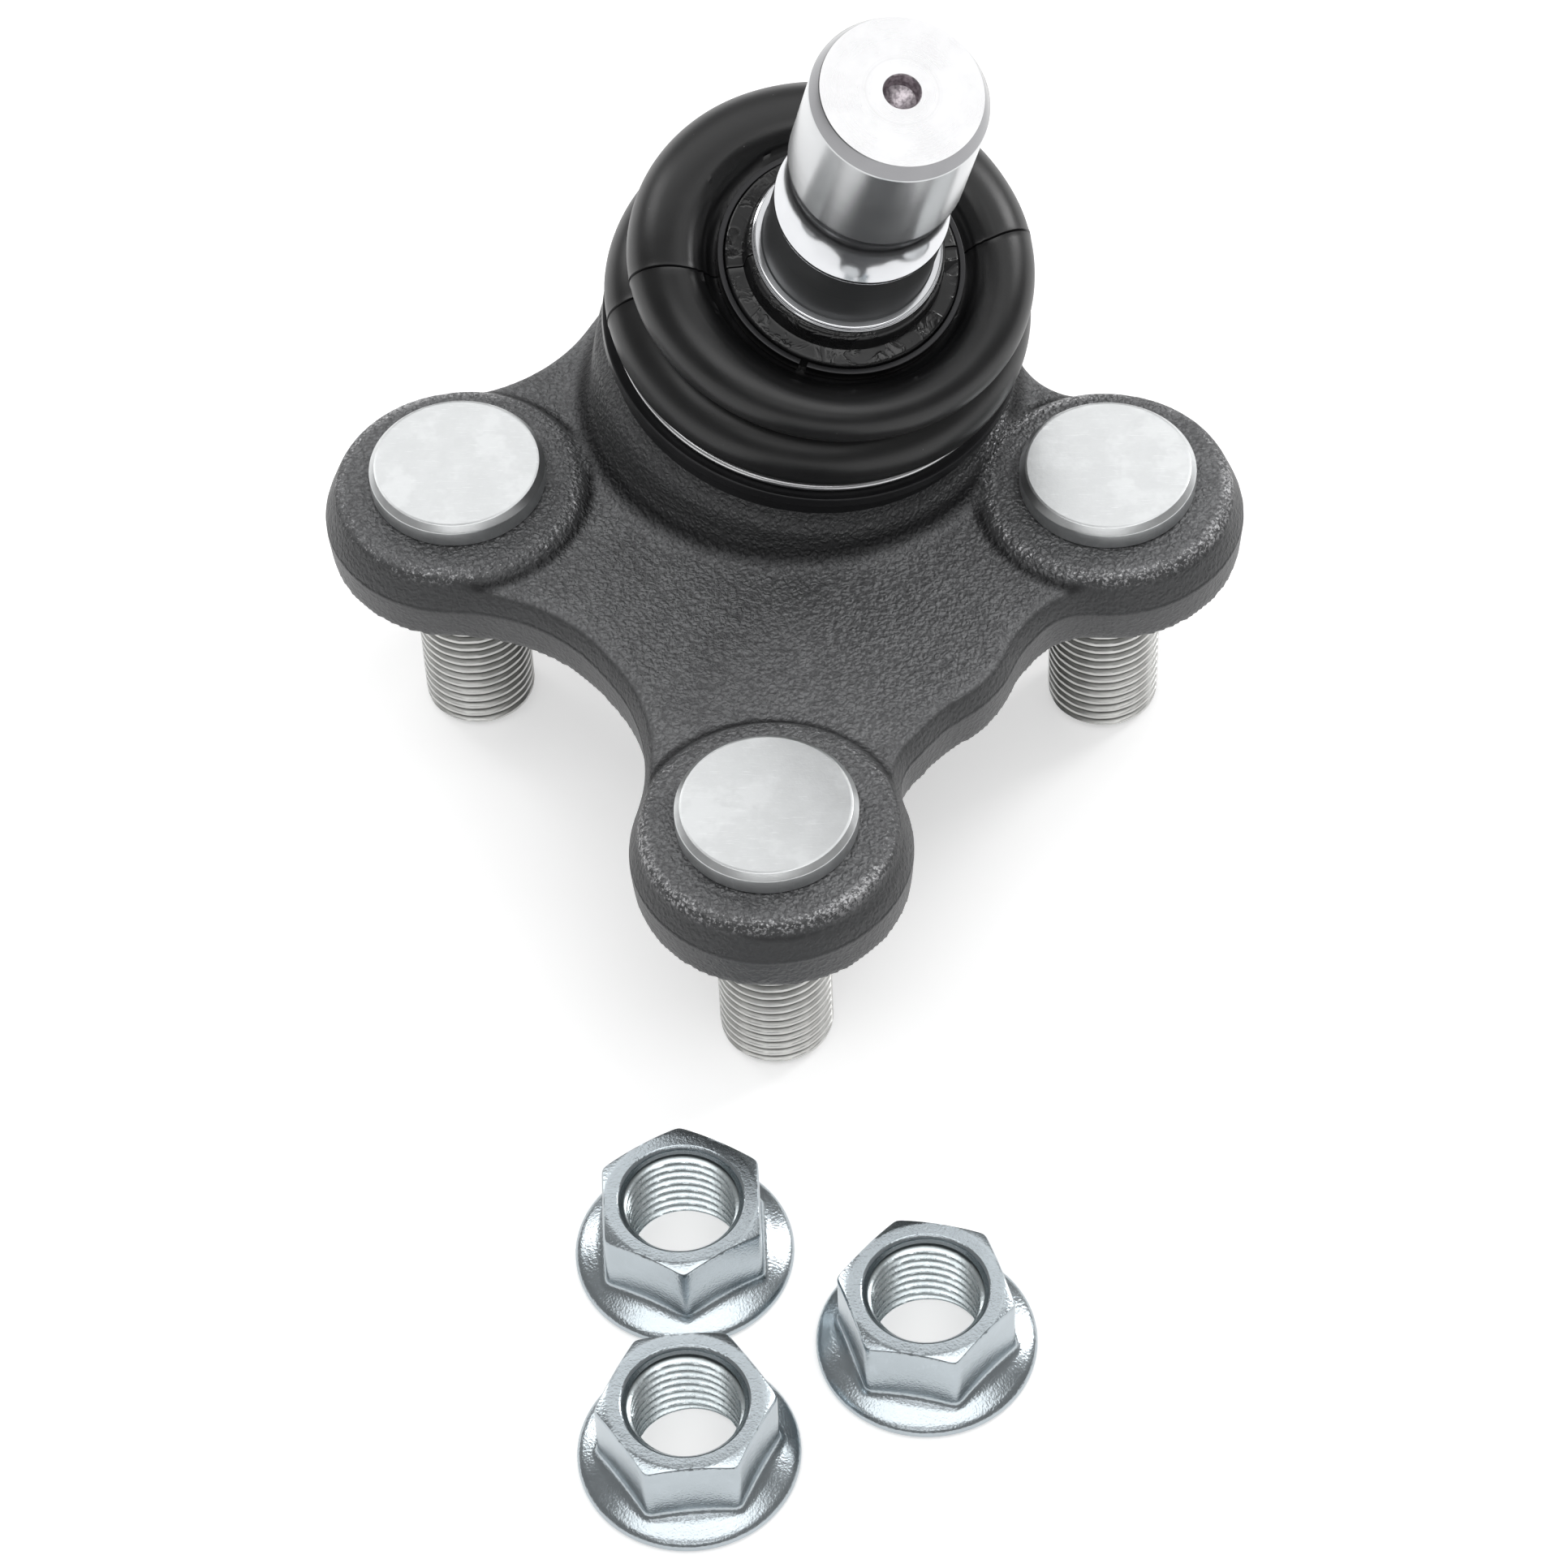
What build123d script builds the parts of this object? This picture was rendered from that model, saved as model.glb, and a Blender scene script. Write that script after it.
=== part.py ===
from build123d import *
from math import cos, pi, radians, sin, sqrt, tan
import os

# Suspension ball joint with a three-bolt flange and a pinch-bolt stud.
# Lengths are in millimetres. +Z is up, square to the mounting face, and the origin is the centre of the ball.
# The socket's own axis leans, and the stud leans a little further, as it stands at rest.

# Bolt pattern, seen from above
rear_bolt_spread = 69.0
front_bolt_reach = 45.5
front_bolt_aside = -0.2
front_boss_aside = 0.3
ball_aside = 2.0
ball_behind = 13.1
ball_above_boss = 3.6

# Flange forging
boss_height = 9.0
boss_radius = 14.6
parting_height = 4.5
parting_land = 0.6
side_draft = 20.7
foot_draft = 4.0
pad_rise = 1.6
pad_edge_round = 1.5
pad_spread = 0.3
web_left_offset = 1.0
web_right_offset = 4.7
right_shoulder_along = 29.5
right_shoulder_reach = 1.3
right_shoulder_radius = 14.0
right_shoulder_blend = 10.0
web_rear_offset = 3.0
left_notch_radius = 20.0
right_notch_radius = 6.0
rear_left_notch_radius = 18.0
rear_right_notch_radius = 8.0
flare_radius = 3.7
flare_bury = 0.3
foot_relief_margin = 1.3
foot_relief_depth = 0.8
bolt_fit_radius = 6.4

# Socket cup, along its own leaning axis
socket_lean = 11.5
socket_azimuth = -43.0
cup_rim_width = 2.9
collar_radius = 22.3
collar_band = 1.2
collar_relief = 0.9
ledge_height = 8.5
forged_step = 1.2
forged_top = 3.2
forged_round = 1.8
nose_radius = 19.3
nose_height = 11.0
nose_chamfer = 0.9
mouth_radius = 15.0
throat_radius = 13.4
cup_bore_radius = 17.0
shoulder_height = 7.6
cup_foot_wall = 2.3
cup_foot_chamfer = 1.2
cap_seat_depth = 17.6
cap_radius = 18.7
cap_thickness = 2.4
cap_dish_radius = 11.0
cap_dish_depth = 1.0
lip_thickness = 1.1
lip_reach = 1.7

# Ball stud, along its own axis from the ball's centre
stud_lean = 19.6
stud_azimuth = -56.6
ball_radius = 14.0
ball_flat_depth = 13.3
neck_radius = 7.0
neck_fillet = 1.0
neck_end = 17.5
seat_start = 21.5
seat_radius = 8.2
flange_under = 29.2
flange_radius = 9.9
flange_thickness = 0.9
flange_edge = 0.25
shank_radius = 9.0
groove_start = 39.1
groove_width = 8.7
groove_depth = 0.9
stud_reach = 62.8
tip_chamfer_length = 1.6
tip_chamfer_depth = 0.86
centre_hole_radius = 1.85
centre_hole_depth = 1.9
centre_hole_point = 1.1

# Bearing shells and preload spring
ball_clearance = 0.05
shell_clearance = 0.05
shell_split_gap = 0.3
seat_lip_height = 6.2
grease_pocket_radius = 5.0
lower_shell_chamfer = 1.5
spring_inner_radius = 7.0
spring_side_clearance = 1.5
spring_height = 1.8
spring_thickness = 0.9

# Dust boot
boot_wall = 1.4
boot_gap = 0.1
lip_wall = 0.95
fold_root_cover = 0.55
lower_fold_height = 13.2
upper_fold_radius = 16.9
upper_fold_height = 22.0
fold_tube_radius = 4.4
fold_start_turn = 68.0
fold_half_turn = 50.0
crease_depth = 2.8
fold_steps = 6
crown_turn = 100.0
swing_power = 2.0
neck_floor_height = 24.4
neck_well_radius = 13.4
neck_sleeve_radius = 12.2
neck_shelf_height = 26.4
neck_lip_radius = 10.4
neck_lip_round = 0.8

# Rings that hold the boot
base_wire_radius = 0.5
neck_ring_thickness = 0.65
neck_ring_width = 1.4
neck_ring_drop = 0.4
neck_ring_split = 0.8

# Bolts and nuts
thread_radius = 6.0
thread_pitch = 1.25
bolt_length = 34.7
bolt_point = 1.0
head_radius = 9.38
head_height = 2.93
head_edge = 0.55
head_under_edge = 0.35
nut_across_flats = 16.0
nut_sides = 6
nut_height = 10.4
nut_flange_radius = 11.25
nut_flange_rim = 1.2
nut_flange_slope = 24.0
nut_corner_chamfer = 25.0
nut_countersink = 0.6
nut_spots = {"left": (-10.8, -88.2, 4.0), "right": (14.2, -98.8, 20.0), "front": (-9.4, -112.2, 36.0)}

# How far a cut runs past the face that it opens
cut_over = 1.0

# Places worked out from the sizes above
boss_top = -ball_above_boss
mounting_face = boss_top - boss_height
parting_plane = mounting_face + parting_height
web_top = boss_top - pad_rise
floor_level = boss_top - bolt_length
rear_y = -ball_behind
bolt_spots = {
    "left": (-rear_bolt_spread / 2 - ball_aside, rear_y),
    "right": (rear_bolt_spread / 2 - ball_aside, rear_y),
    "front": (front_bolt_aside - ball_aside, rear_y - front_bolt_reach),
}
boss_spots = {**bolt_spots, "front": (bolt_spots["front"][0] + front_boss_aside, bolt_spots["front"][1])}
cup_foot_radius = cap_radius + cup_foot_wall
lip_inner_radius = cap_radius - lip_reach
neck_wall_radius = collar_radius - collar_relief
forged_radius = neck_wall_radius + forged_step
cup_root_radius = forged_radius + cup_rim_width
shell_radius = cup_bore_radius - shell_clearance
shell_sphere = ball_radius + ball_clearance
cap_bottom = -cap_seat_depth - cap_thickness
cup_bottom = cap_bottom - lip_thickness
lip_bore = nose_radius + boot_gap
boot_lip_outer = lip_bore + lip_wall
base_ring_radius = boot_lip_outer + boot_gap + base_wire_radius
lower_fold_radius = boot_lip_outer - fold_root_cover - fold_tube_radius * cos(radians(fold_start_turn))
neck_bore = seat_radius + boot_gap
lower_shell_floor = cap_seat_depth - spring_height
spring_outer_radius = cup_bore_radius - spring_side_clearance


def leaning(lean, azimuth):
    """Unit vector that leans from +Z by an angle, towards an azimuth from +X."""
    side = sin(radians(lean))
    return Vector(side * cos(radians(azimuth)), side * sin(radians(azimuth)), cos(radians(lean)))


socket_axis = leaning(socket_lean, socket_azimuth)
stud_axis = leaning(stud_lean, stud_azimuth)


def along(axis):
    """Place that turns +Z onto an axis through the ball's centre."""
    return Plane(origin=(0, 0, 0), z_dir=axis).location


def axis_at(axis, height):
    """Where an axis through the ball's centre passes a height."""
    return axis * (height / axis.Z)


def outline(points):
    """Closed profile through points given as (radius, height)."""
    return make_face(Plane.XZ * Polyline(*points, close=True))


def turned(profile):
    """Solid of revolution about +Z."""
    return revolve(profile, axis=Axis.Z)


def disc(radius, low, high):
    """Plain round solid about +Z between two heights."""
    return Pos(0, 0, low) * Cylinder(radius, high - low, align=(Align.CENTER, Align.CENTER, Align.MIN))


def save(shape, name):
    """Write one piece as its own file."""
    shape.label = name
    export_step(shape, f"parts/{name}.step")


# Housing: the flange

def offset_edge(start, end, distance):
    """Two points of the line from start to end, moved to its right by a distance."""
    a = Vector(*start)
    b = Vector(*end)
    run = (b - a).normalized()
    aside = Vector(run.Y, -run.X) * distance
    return a + aside, b + aside


def corner_near(face, spot):
    """The vertex of a flat face that lies nearest to a spot."""
    return face.vertices().sort_by_distance(spot)[0]


def meeting_spot(centre, radius, corner_line):
    """Where a boss circle crosses a web edge, on the side of the edge's far end."""
    near, far = corner_line
    run = (far - near).normalized()
    middle = Vector(*centre)
    foot = near + run * (middle - near).dot(run)
    reach = sqrt(radius**2 - (middle - foot).length ** 2)
    return foot + run * reach


def circles_meet(centre_a, radius_a, centre_b, radius_b):
    """Rear crossing of two circles, the one with the larger Y."""
    a = Vector(*centre_a)
    b = Vector(*centre_b)
    gap = (b - a).length
    run = (b - a).normalized()
    share = (gap**2 + radius_a**2 - radius_b**2) / (2 * gap)
    rise = sqrt(radius_a**2 - share**2)
    aside = Vector(-run.Y, run.X) * rise
    spots = [a + run * share + aside, a + run * share - aside]
    return max(spots, key=lambda spot: spot.Y)


def with_shoulder(web, edge):
    """The web with a low round shoulder on one straight edge."""
    run = (edge[1] - edge[0]).normalized()
    inward = Vector(-run.Y, run.X)
    depth = right_shoulder_radius - right_shoulder_reach
    half_chord = sqrt(right_shoulder_radius**2 - depth**2)
    middle = edge[0] + run * right_shoulder_along
    centre = middle + inward * depth
    web += Pos(centre.X, centre.Y) * Circle(right_shoulder_radius)
    for side in (-1, 1):
        web = fillet(corner_near(web, middle + run * side * half_chord), right_shoulder_blend)
    return web


def flange_outline():
    """The forging's outline where its two dies part."""
    left = boss_spots["left"]
    right = boss_spots["right"]
    front = boss_spots["front"]
    left_edge = offset_edge(front, left, -web_left_offset)
    right_edge = offset_edge(front, right, web_right_offset)
    rear_edge = offset_edge(left, right, -web_rear_offset)
    cup_centre = axis_at(socket_axis, parting_plane)
    cup_spot = (cup_centre.X, cup_centre.Y)
    corners = [*left_edge, *rear_edge, *right_edge[::-1]]
    web = with_shoulder(make_face(Polyline(*corners, close=True)), right_edge)
    face = web + Pos(*cup_spot) * Circle(cup_root_radius)
    for spot in boss_spots.values():
        face += Pos(*spot) * Circle(boss_radius)
    notches = [
        (meeting_spot(left, boss_radius, left_edge[::-1]), left_notch_radius),
        (meeting_spot(front, boss_radius, left_edge), left_notch_radius),
        (meeting_spot(right, boss_radius, right_edge[::-1]), right_notch_radius),
        (meeting_spot(front, boss_radius, right_edge), right_notch_radius),
        (circles_meet(left, boss_radius, cup_spot, cup_root_radius), rear_left_notch_radius),
        (circles_meet(right, boss_radius, cup_spot, cup_root_radius), rear_right_notch_radius),
    ]
    for spot, radius in notches:
        face = fillet(corner_near(face, spot), radius)
    return face


def drafted(blank, which, height, angle):
    """The block with draft on one rim, the lowest or the highest, over a height of its side."""
    rim_face = blank.faces().filter_by(Plane.XY).sort_by(Axis.Z)[which]
    return chamfer(rim_face.outer_wire().edges(), height * tan(radians(angle)), height, reference=rim_face)


def pad(spot):
    """One round pad with a rounded rim, from the parting plane up."""
    height = boss_top - parting_plane
    top_radius = boss_radius + pad_spread - height * tan(radians(side_draft))
    base_radius = boss_radius + pad_spread
    cone = Cone(base_radius, top_radius, height, align=(Align.CENTER, Align.CENTER, Align.MIN))
    rim = cone.edges().sort_by(Axis.Z)[-1]
    return Pos(spot[0], spot[1], parting_plane) * fillet(rim, pad_edge_round)


def flange():
    """The drafted flange: a web at one level, three pads and the root of the cup."""
    face = flange_outline()
    flare_top = web_top + flare_radius
    block = extrude(Pos(0, 0, mounting_face) * face, flare_top - mounting_face)
    block = drafted(block, -1, flare_top - parting_plane - parting_land / 2, side_draft)
    block = drafted(block, 0, parting_height - parting_land / 2, foot_draft)
    levels = web_and_flare()
    for spot in boss_spots.values():
        levels += pad(spot)
    return (block & levels) - foot_relief()


def cup_body():
    """Outside of the cup: nose, ledge, collar band and foot."""
    foot_start = -ball_above_boss
    drop = sqrt(forged_round**2 - (forged_round - forged_step) ** 2)
    centre = (forged_radius - forged_round, forged_top - drop)
    middle = (centre[0] + forged_round * cos(radians(45)), centre[1] + forged_round * sin(radians(45)))
    sides = [
        Polyline(
            (0, cup_bottom),
            (cup_foot_radius - cup_foot_chamfer, cup_bottom),
            (cup_foot_radius, cup_bottom + cup_foot_chamfer),
            (cup_foot_radius, foot_start - forged_radius + cup_foot_radius),
            (forged_radius, foot_start),
            (forged_radius, centre[1]),
        ),
        ThreePointArc((forged_radius, centre[1]), middle, (neck_wall_radius, forged_top)),
        Polyline(
            (neck_wall_radius, forged_top),
            (neck_wall_radius, ledge_height - collar_band - collar_relief),
            (collar_radius, ledge_height - collar_band),
            (collar_radius, ledge_height),
            (nose_radius, ledge_height),
            (nose_radius, nose_height - nose_chamfer),
            (nose_radius - nose_chamfer, nose_height),
            (0, nose_height),
            (0, cup_bottom),
        ),
    ]
    return turned(make_face([Plane.XZ * side for side in sides]))


def web_and_flare():
    """The web's level surface, running up round the cup in a hollow, with all below it."""
    reach = 2 * rear_bolt_spread
    low = mounting_face - cut_over
    root = forged_radius - flare_bury
    centre = (root + flare_radius, web_top + flare_radius)
    middle = (centre[0] - flare_radius * sin(radians(45)), centre[1] - flare_radius * cos(radians(45)))
    sides = [
        Polyline((0, low), (0, centre[1]), (root, centre[1])),
        ThreePointArc((root, centre[1]), middle, (centre[0], web_top)),
        Polyline((centre[0], web_top), (reach, web_top), (reach, low), (0, low)),
    ]
    spot = axis_at(socket_axis, web_top + flare_radius / 2)
    return Pos(spot.X, spot.Y) * turned(make_face([Plane.XZ * side for side in sides]))


def foot_relief():
    """Shallow recess in the mounting face, wide enough for a plate's hole to pass over the leaning cup."""
    spot = axis_at(socket_axis, cup_bottom + cup_foot_radius * sin(radians(socket_lean)) / 2)
    radius = cup_foot_radius + foot_relief_margin
    return Pos(spot.X, spot.Y) * disc(radius, mounting_face - cut_over, mounting_face + foot_relief_depth)


def cup_cavity():
    """Bore, shoulder, throat and cap seat, as one solid to cut away."""
    return turned(outline([
        (0, cup_bottom - cut_over),
        (lip_inner_radius, cup_bottom - cut_over),
        (lip_inner_radius, cap_bottom),
        (cap_radius, cap_bottom),
        (cap_radius, -cap_seat_depth),
        (cup_bore_radius, -cap_seat_depth),
        (cup_bore_radius, shoulder_height),
        (throat_radius, shoulder_height),
        (mouth_radius, nose_height),
        (mouth_radius, nose_height + cut_over),
        (0, nose_height + cut_over),
    ]))


def housing():
    """The forging, machined."""
    body = flange() + along(socket_axis) * cup_body()
    body -= along(socket_axis) * cup_cavity()
    for x, y in bolt_spots.values():
        body -= Pos(x, y) * disc(bolt_fit_radius, mounting_face - cut_over, boss_top + cut_over)
    return body


# Inside the cup

def upper_bearing():
    """Shell between the cup's shoulder and the ball."""
    lip_radius = sqrt(shell_sphere**2 - seat_lip_height**2)
    rim_radius = sqrt(shell_sphere**2 - (shell_split_gap / 2) ** 2)
    middle_height = seat_lip_height / 2
    middle = (sqrt(shell_sphere**2 - middle_height**2), middle_height)
    low = shell_split_gap / 2
    sides = [
        Line((rim_radius, low), (shell_radius, low)),
        Line((shell_radius, low), (shell_radius, shoulder_height)),
        Line((shell_radius, shoulder_height), (throat_radius, shoulder_height)),
        Line((throat_radius, shoulder_height), (lip_radius, seat_lip_height)),
        ThreePointArc((lip_radius, seat_lip_height), middle, (rim_radius, low)),
    ]
    return turned(make_face([Plane.XZ * side for side in sides]))


def lower_bearing():
    """Cup-shaped shell under the ball, with a grease pocket."""
    high = -shell_split_gap / 2
    rim_radius = sqrt(shell_sphere**2 - high**2)
    pocket_height = -sqrt(shell_sphere**2 - grease_pocket_radius**2)
    middle_height = -shell_sphere * sin(radians(45))
    middle = (sqrt(shell_sphere**2 - middle_height**2), middle_height)
    floor = -lower_shell_floor
    sides = [
        Line((rim_radius, high), (shell_radius, high)),
        Line((shell_radius, high), (shell_radius, floor + lower_shell_chamfer)),
        Line((shell_radius, floor + lower_shell_chamfer), (shell_radius - lower_shell_chamfer, floor)),
        Line((shell_radius - lower_shell_chamfer, floor), (grease_pocket_radius, floor)),
        Line((grease_pocket_radius, floor), (grease_pocket_radius, pocket_height)),
        ThreePointArc((grease_pocket_radius, pocket_height), middle, (rim_radius, high)),
    ]
    return turned(make_face([Plane.XZ * side for side in sides]))


def preload_spring():
    """Conical disc spring between the lower shell and the cap."""
    top = -lower_shell_floor
    bottom = -cap_seat_depth
    return turned(outline([
        (spring_inner_radius, top),
        (spring_inner_radius, top - spring_thickness),
        (spring_outer_radius, bottom),
        (spring_outer_radius, bottom + spring_thickness),
    ]))


def end_cap():
    """Dished closing plate that the cup's lip is rolled over."""
    top = -cap_seat_depth
    slope = cap_dish_radius + cap_dish_depth
    return turned(outline([
        (0, top - cap_dish_depth),
        (0, cap_bottom - cap_dish_depth),
        (cap_dish_radius, cap_bottom - cap_dish_depth),
        (slope, cap_bottom),
        (cap_radius, cap_bottom),
        (cap_radius, top),
        (cap_dish_radius, top),
        (cap_dish_radius - cap_dish_depth, top - cap_dish_depth),
    ]))


# Ball stud

def ball_stud():
    """Ball, neck, boot seat, flange, bolt groove and pinch shank in one turned piece."""
    flat_radius = sqrt(ball_radius**2 - ball_flat_depth**2)
    fillet_height = sqrt((ball_radius + neck_fillet) ** 2 - (neck_radius + neck_fillet) ** 2)
    share = ball_radius / (ball_radius + neck_fillet)
    ball_end = ((neck_radius + neck_fillet) * share, fillet_height * share)
    fillet_centre = Vector(neck_radius + neck_fillet, fillet_height)
    swing = (Vector(*ball_end) - fillet_centre).normalized() + Vector(-1, 0)
    fillet_middle = fillet_centre + swing.normalized() * neck_fillet
    flange_top = flange_under + flange_thickness
    groove_end = groove_start + groove_width
    hole_floor = stud_reach - centre_hole_depth
    points_low = [
        (neck_radius, fillet_height),
        (neck_radius, neck_end),
        (seat_radius, seat_start),
        (seat_radius, flange_under),
        (flange_radius - flange_edge, flange_under),
        (flange_radius, flange_under + flange_edge),
        (flange_radius, flange_top - flange_edge),
        (flange_radius - flange_edge, flange_top),
        (shank_radius, flange_top),
        (shank_radius, groove_start),
    ]
    points_high = [
        (shank_radius, groove_end),
        (shank_radius, stud_reach - tip_chamfer_length),
        (shank_radius - tip_chamfer_depth, stud_reach),
        (centre_hole_radius, stud_reach),
        (centre_hole_radius, hole_floor),
        (0, hole_floor - centre_hole_point),
        (0, -ball_flat_depth),
        (flat_radius, -ball_flat_depth),
    ]
    groove_middle = (shank_radius - groove_depth, groove_start + groove_width / 2)
    sides = [
        ThreePointArc((flat_radius, -ball_flat_depth), (ball_radius, 0), ball_end),
        ThreePointArc(ball_end, (fillet_middle.X, fillet_middle.Y), (neck_radius, fillet_height)),
        Polyline(*points_low),
        ThreePointArc(points_low[-1], groove_middle, points_high[0]),
        Polyline(*points_high),
    ]
    return turned(make_face([Plane.XZ * side for side in sides]))


# Dust boot

def on_fold(radius, height, tube_radius, turn):
    """Radius and height of a point round a fold's own middle, turned up from level."""
    return radius + tube_radius * cos(turn), height + tube_radius * sin(turn)


def boot_profile(tube_radius, end_radius, end_height):
    """Radius and height of each section of one skin of the boot, from its lip to its neck."""
    half = radians(fold_half_turn)
    start = radians(fold_start_turn)
    sections = []
    for step in range(fold_steps + 1):
        turn = -start + (start + half) * step / fold_steps
        sections.append(on_fold(lower_fold_radius, lower_fold_height, tube_radius, turn))
    crease_height = (lower_fold_height + upper_fold_height) / 2
    fold_reach = fold_tube_radius * cos(half)
    crease_radius = (lower_fold_radius + upper_fold_radius) / 2 + fold_reach - crease_depth
    sections.append((crease_radius - (fold_tube_radius - tube_radius), crease_height))
    crown = radians(crown_turn)
    for step in range(fold_steps + 2):
        turn = -half + (half + crown) * step / (fold_steps + 1)
        sections.append(on_fold(upper_fold_radius, upper_fold_height, tube_radius, turn))
    sections.append((end_radius, end_height))
    return sections


def boot_skin(sections):
    """Solid inside one skin: round sections that swing from the socket's axis to the stud's."""
    last = len(sections) - 1
    rings = []
    for index, (radius, height) in enumerate(sections):
        share = (index / last) ** swing_power
        axis = (socket_axis * (1 - share) + stud_axis * share).normalized()
        rings.append(Plane(origin=axis * height, z_dir=axis) * Circle(radius))
    return loft(rings, ruled=True)


def dust_boot():
    """Two folds between a base lip and a thick neck, hollow inside."""
    lip_low = ledge_height + boot_gap
    neck_low = neck_floor_height - boot_wall
    neck_top = flange_under - boot_gap
    outer_profile = boot_profile(fold_tube_radius, neck_well_radius, neck_floor_height)
    inner_profile = boot_profile(fold_tube_radius - boot_wall, neck_well_radius + boot_wall / 2, neck_low)
    way_height = inner_profile[0][1]
    neck = turned(outline([
        (0, neck_low + boot_wall / 2),
        (neck_sleeve_radius, neck_low + boot_wall / 2),
        (neck_sleeve_radius, neck_shelf_height),
        (neck_lip_radius, neck_shelf_height),
        (neck_lip_radius, neck_top - neck_lip_round),
        (neck_lip_radius - neck_lip_round, neck_top),
        (0, neck_top),
    ]))
    lip = disc(boot_lip_outer, lip_low, way_height + boot_wall / 2)
    lip_way = disc(lip_bore, lip_low - boot_wall, way_height + boot_wall / 2)
    shell = boot_skin(outer_profile) + along(socket_axis) * lip + along(stud_axis) * neck
    shell -= boot_skin(inner_profile)
    shell -= along(socket_axis) * lip_way
    return shell - along(stud_axis) * disc(neck_bore, neck_low - boot_wall, neck_top + boot_wall)


def boot_base_ring():
    """Wire ring just above the cup's ledge, round the boot's lip."""
    return Pos(0, 0, ledge_height + boot_gap + base_wire_radius) * Torus(base_ring_radius, base_wire_radius)


def boot_neck_ring():
    """Split flat ring round the boot's neck."""
    inner = neck_sleeve_radius + boot_gap
    outer = inner + neck_ring_thickness
    high = neck_shelf_height - neck_ring_drop
    low = high - neck_ring_width
    ring = disc(outer, low, high) - disc(inner, low, high)
    gap = Pos(0, -inner, (low + high) / 2) * Box(neck_ring_split, outer, 2 * neck_ring_width)
    return ring - gap


# Bolts and nuts

def bolt():
    """Press-in stud with a round head, standing on its boss at z = 0."""
    return turned(outline([
        (0, head_height),
        (head_radius - head_edge, head_height),
        (head_radius, head_height - head_edge),
        (head_radius, head_under_edge),
        (head_radius - head_under_edge, 0),
        (bolt_fit_radius, 0),
        (bolt_fit_radius, -boss_height),
        (thread_radius, -boss_height),
        (thread_radius, bolt_point - bolt_length),
        (thread_radius - bolt_point, -bolt_length),
        (0, -bolt_length),
    ]))


def nut():
    """Hexagon flange nut standing on z = 0."""
    bore = thread_radius - thread_pitch / 2
    flat = nut_across_flats / 2
    corner = flat / cos(pi / nut_sides)
    rise = (nut_flange_radius - flat) * tan(radians(nut_flange_slope))
    drop = (corner - flat) * tan(radians(nut_corner_chamfer))
    hexagon = extrude(RegularPolygon(corner, nut_sides), nut_height)
    dome = turned(outline([
        (0, 0),
        (corner + nut_countersink, 0),
        (corner + nut_countersink, nut_height - drop),
        (corner, nut_height - drop),
        (flat, nut_height),
        (0, nut_height),
    ]))
    flange = turned(outline([
        (0, 0),
        (nut_flange_radius, 0),
        (nut_flange_radius, nut_flange_rim),
        (flat, nut_flange_rim + rise),
        (0, nut_flange_rim + rise),
    ]))
    sink = thread_radius + nut_countersink - bore
    hole = turned(outline([
        (0, -cut_over),
        (bore + sink + cut_over, -cut_over),
        (bore, sink),
        (bore, nut_height - sink),
        (bore + sink + cut_over, nut_height + cut_over),
        (0, nut_height + cut_over),
    ]))
    return (hexagon & dome) + flange - hole


os.makedirs("parts", exist_ok=True)

save(housing(), "housing")
save(along(socket_axis) * upper_bearing(), "upper_bearing")
save(along(socket_axis) * lower_bearing(), "lower_bearing")
save(along(socket_axis) * preload_spring(), "preload_spring")
save(along(socket_axis) * end_cap(), "end_cap")
save(along(stud_axis) * ball_stud(), "ball_stud")
save(dust_boot(), "dust_boot")
save(along(socket_axis) * boot_base_ring(), "boot_base_ring")
save(along(stud_axis) * boot_neck_ring(), "boot_neck_ring")
for side, (x, y) in bolt_spots.items():
    save(Pos(x, y, boss_top) * bolt(), f"bolt_{side}")
for side, (x, y, turn) in nut_spots.items():
    save(Pos(x, y, floor_level) * Rot(0, 0, turn) * nut(), f"nut_{side}")
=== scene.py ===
import math

import bmesh
import bpy
import numpy as np
from mathutils import Matrix, Vector, noise

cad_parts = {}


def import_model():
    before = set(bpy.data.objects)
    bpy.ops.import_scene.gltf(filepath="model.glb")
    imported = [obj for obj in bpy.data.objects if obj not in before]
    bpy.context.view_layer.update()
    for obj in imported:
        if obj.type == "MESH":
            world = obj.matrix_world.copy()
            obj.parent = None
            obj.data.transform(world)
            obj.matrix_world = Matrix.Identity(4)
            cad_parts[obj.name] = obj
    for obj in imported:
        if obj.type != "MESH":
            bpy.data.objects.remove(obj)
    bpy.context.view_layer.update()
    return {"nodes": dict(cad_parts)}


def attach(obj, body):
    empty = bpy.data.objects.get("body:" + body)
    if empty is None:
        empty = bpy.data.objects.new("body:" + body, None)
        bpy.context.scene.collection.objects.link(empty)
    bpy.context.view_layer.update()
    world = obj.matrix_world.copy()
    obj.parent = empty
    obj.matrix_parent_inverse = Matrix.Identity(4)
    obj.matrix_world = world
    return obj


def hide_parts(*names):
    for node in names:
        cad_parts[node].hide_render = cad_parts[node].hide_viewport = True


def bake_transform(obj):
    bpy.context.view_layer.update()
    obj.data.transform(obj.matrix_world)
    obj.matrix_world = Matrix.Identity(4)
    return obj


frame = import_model()

MM = 0.001

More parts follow.
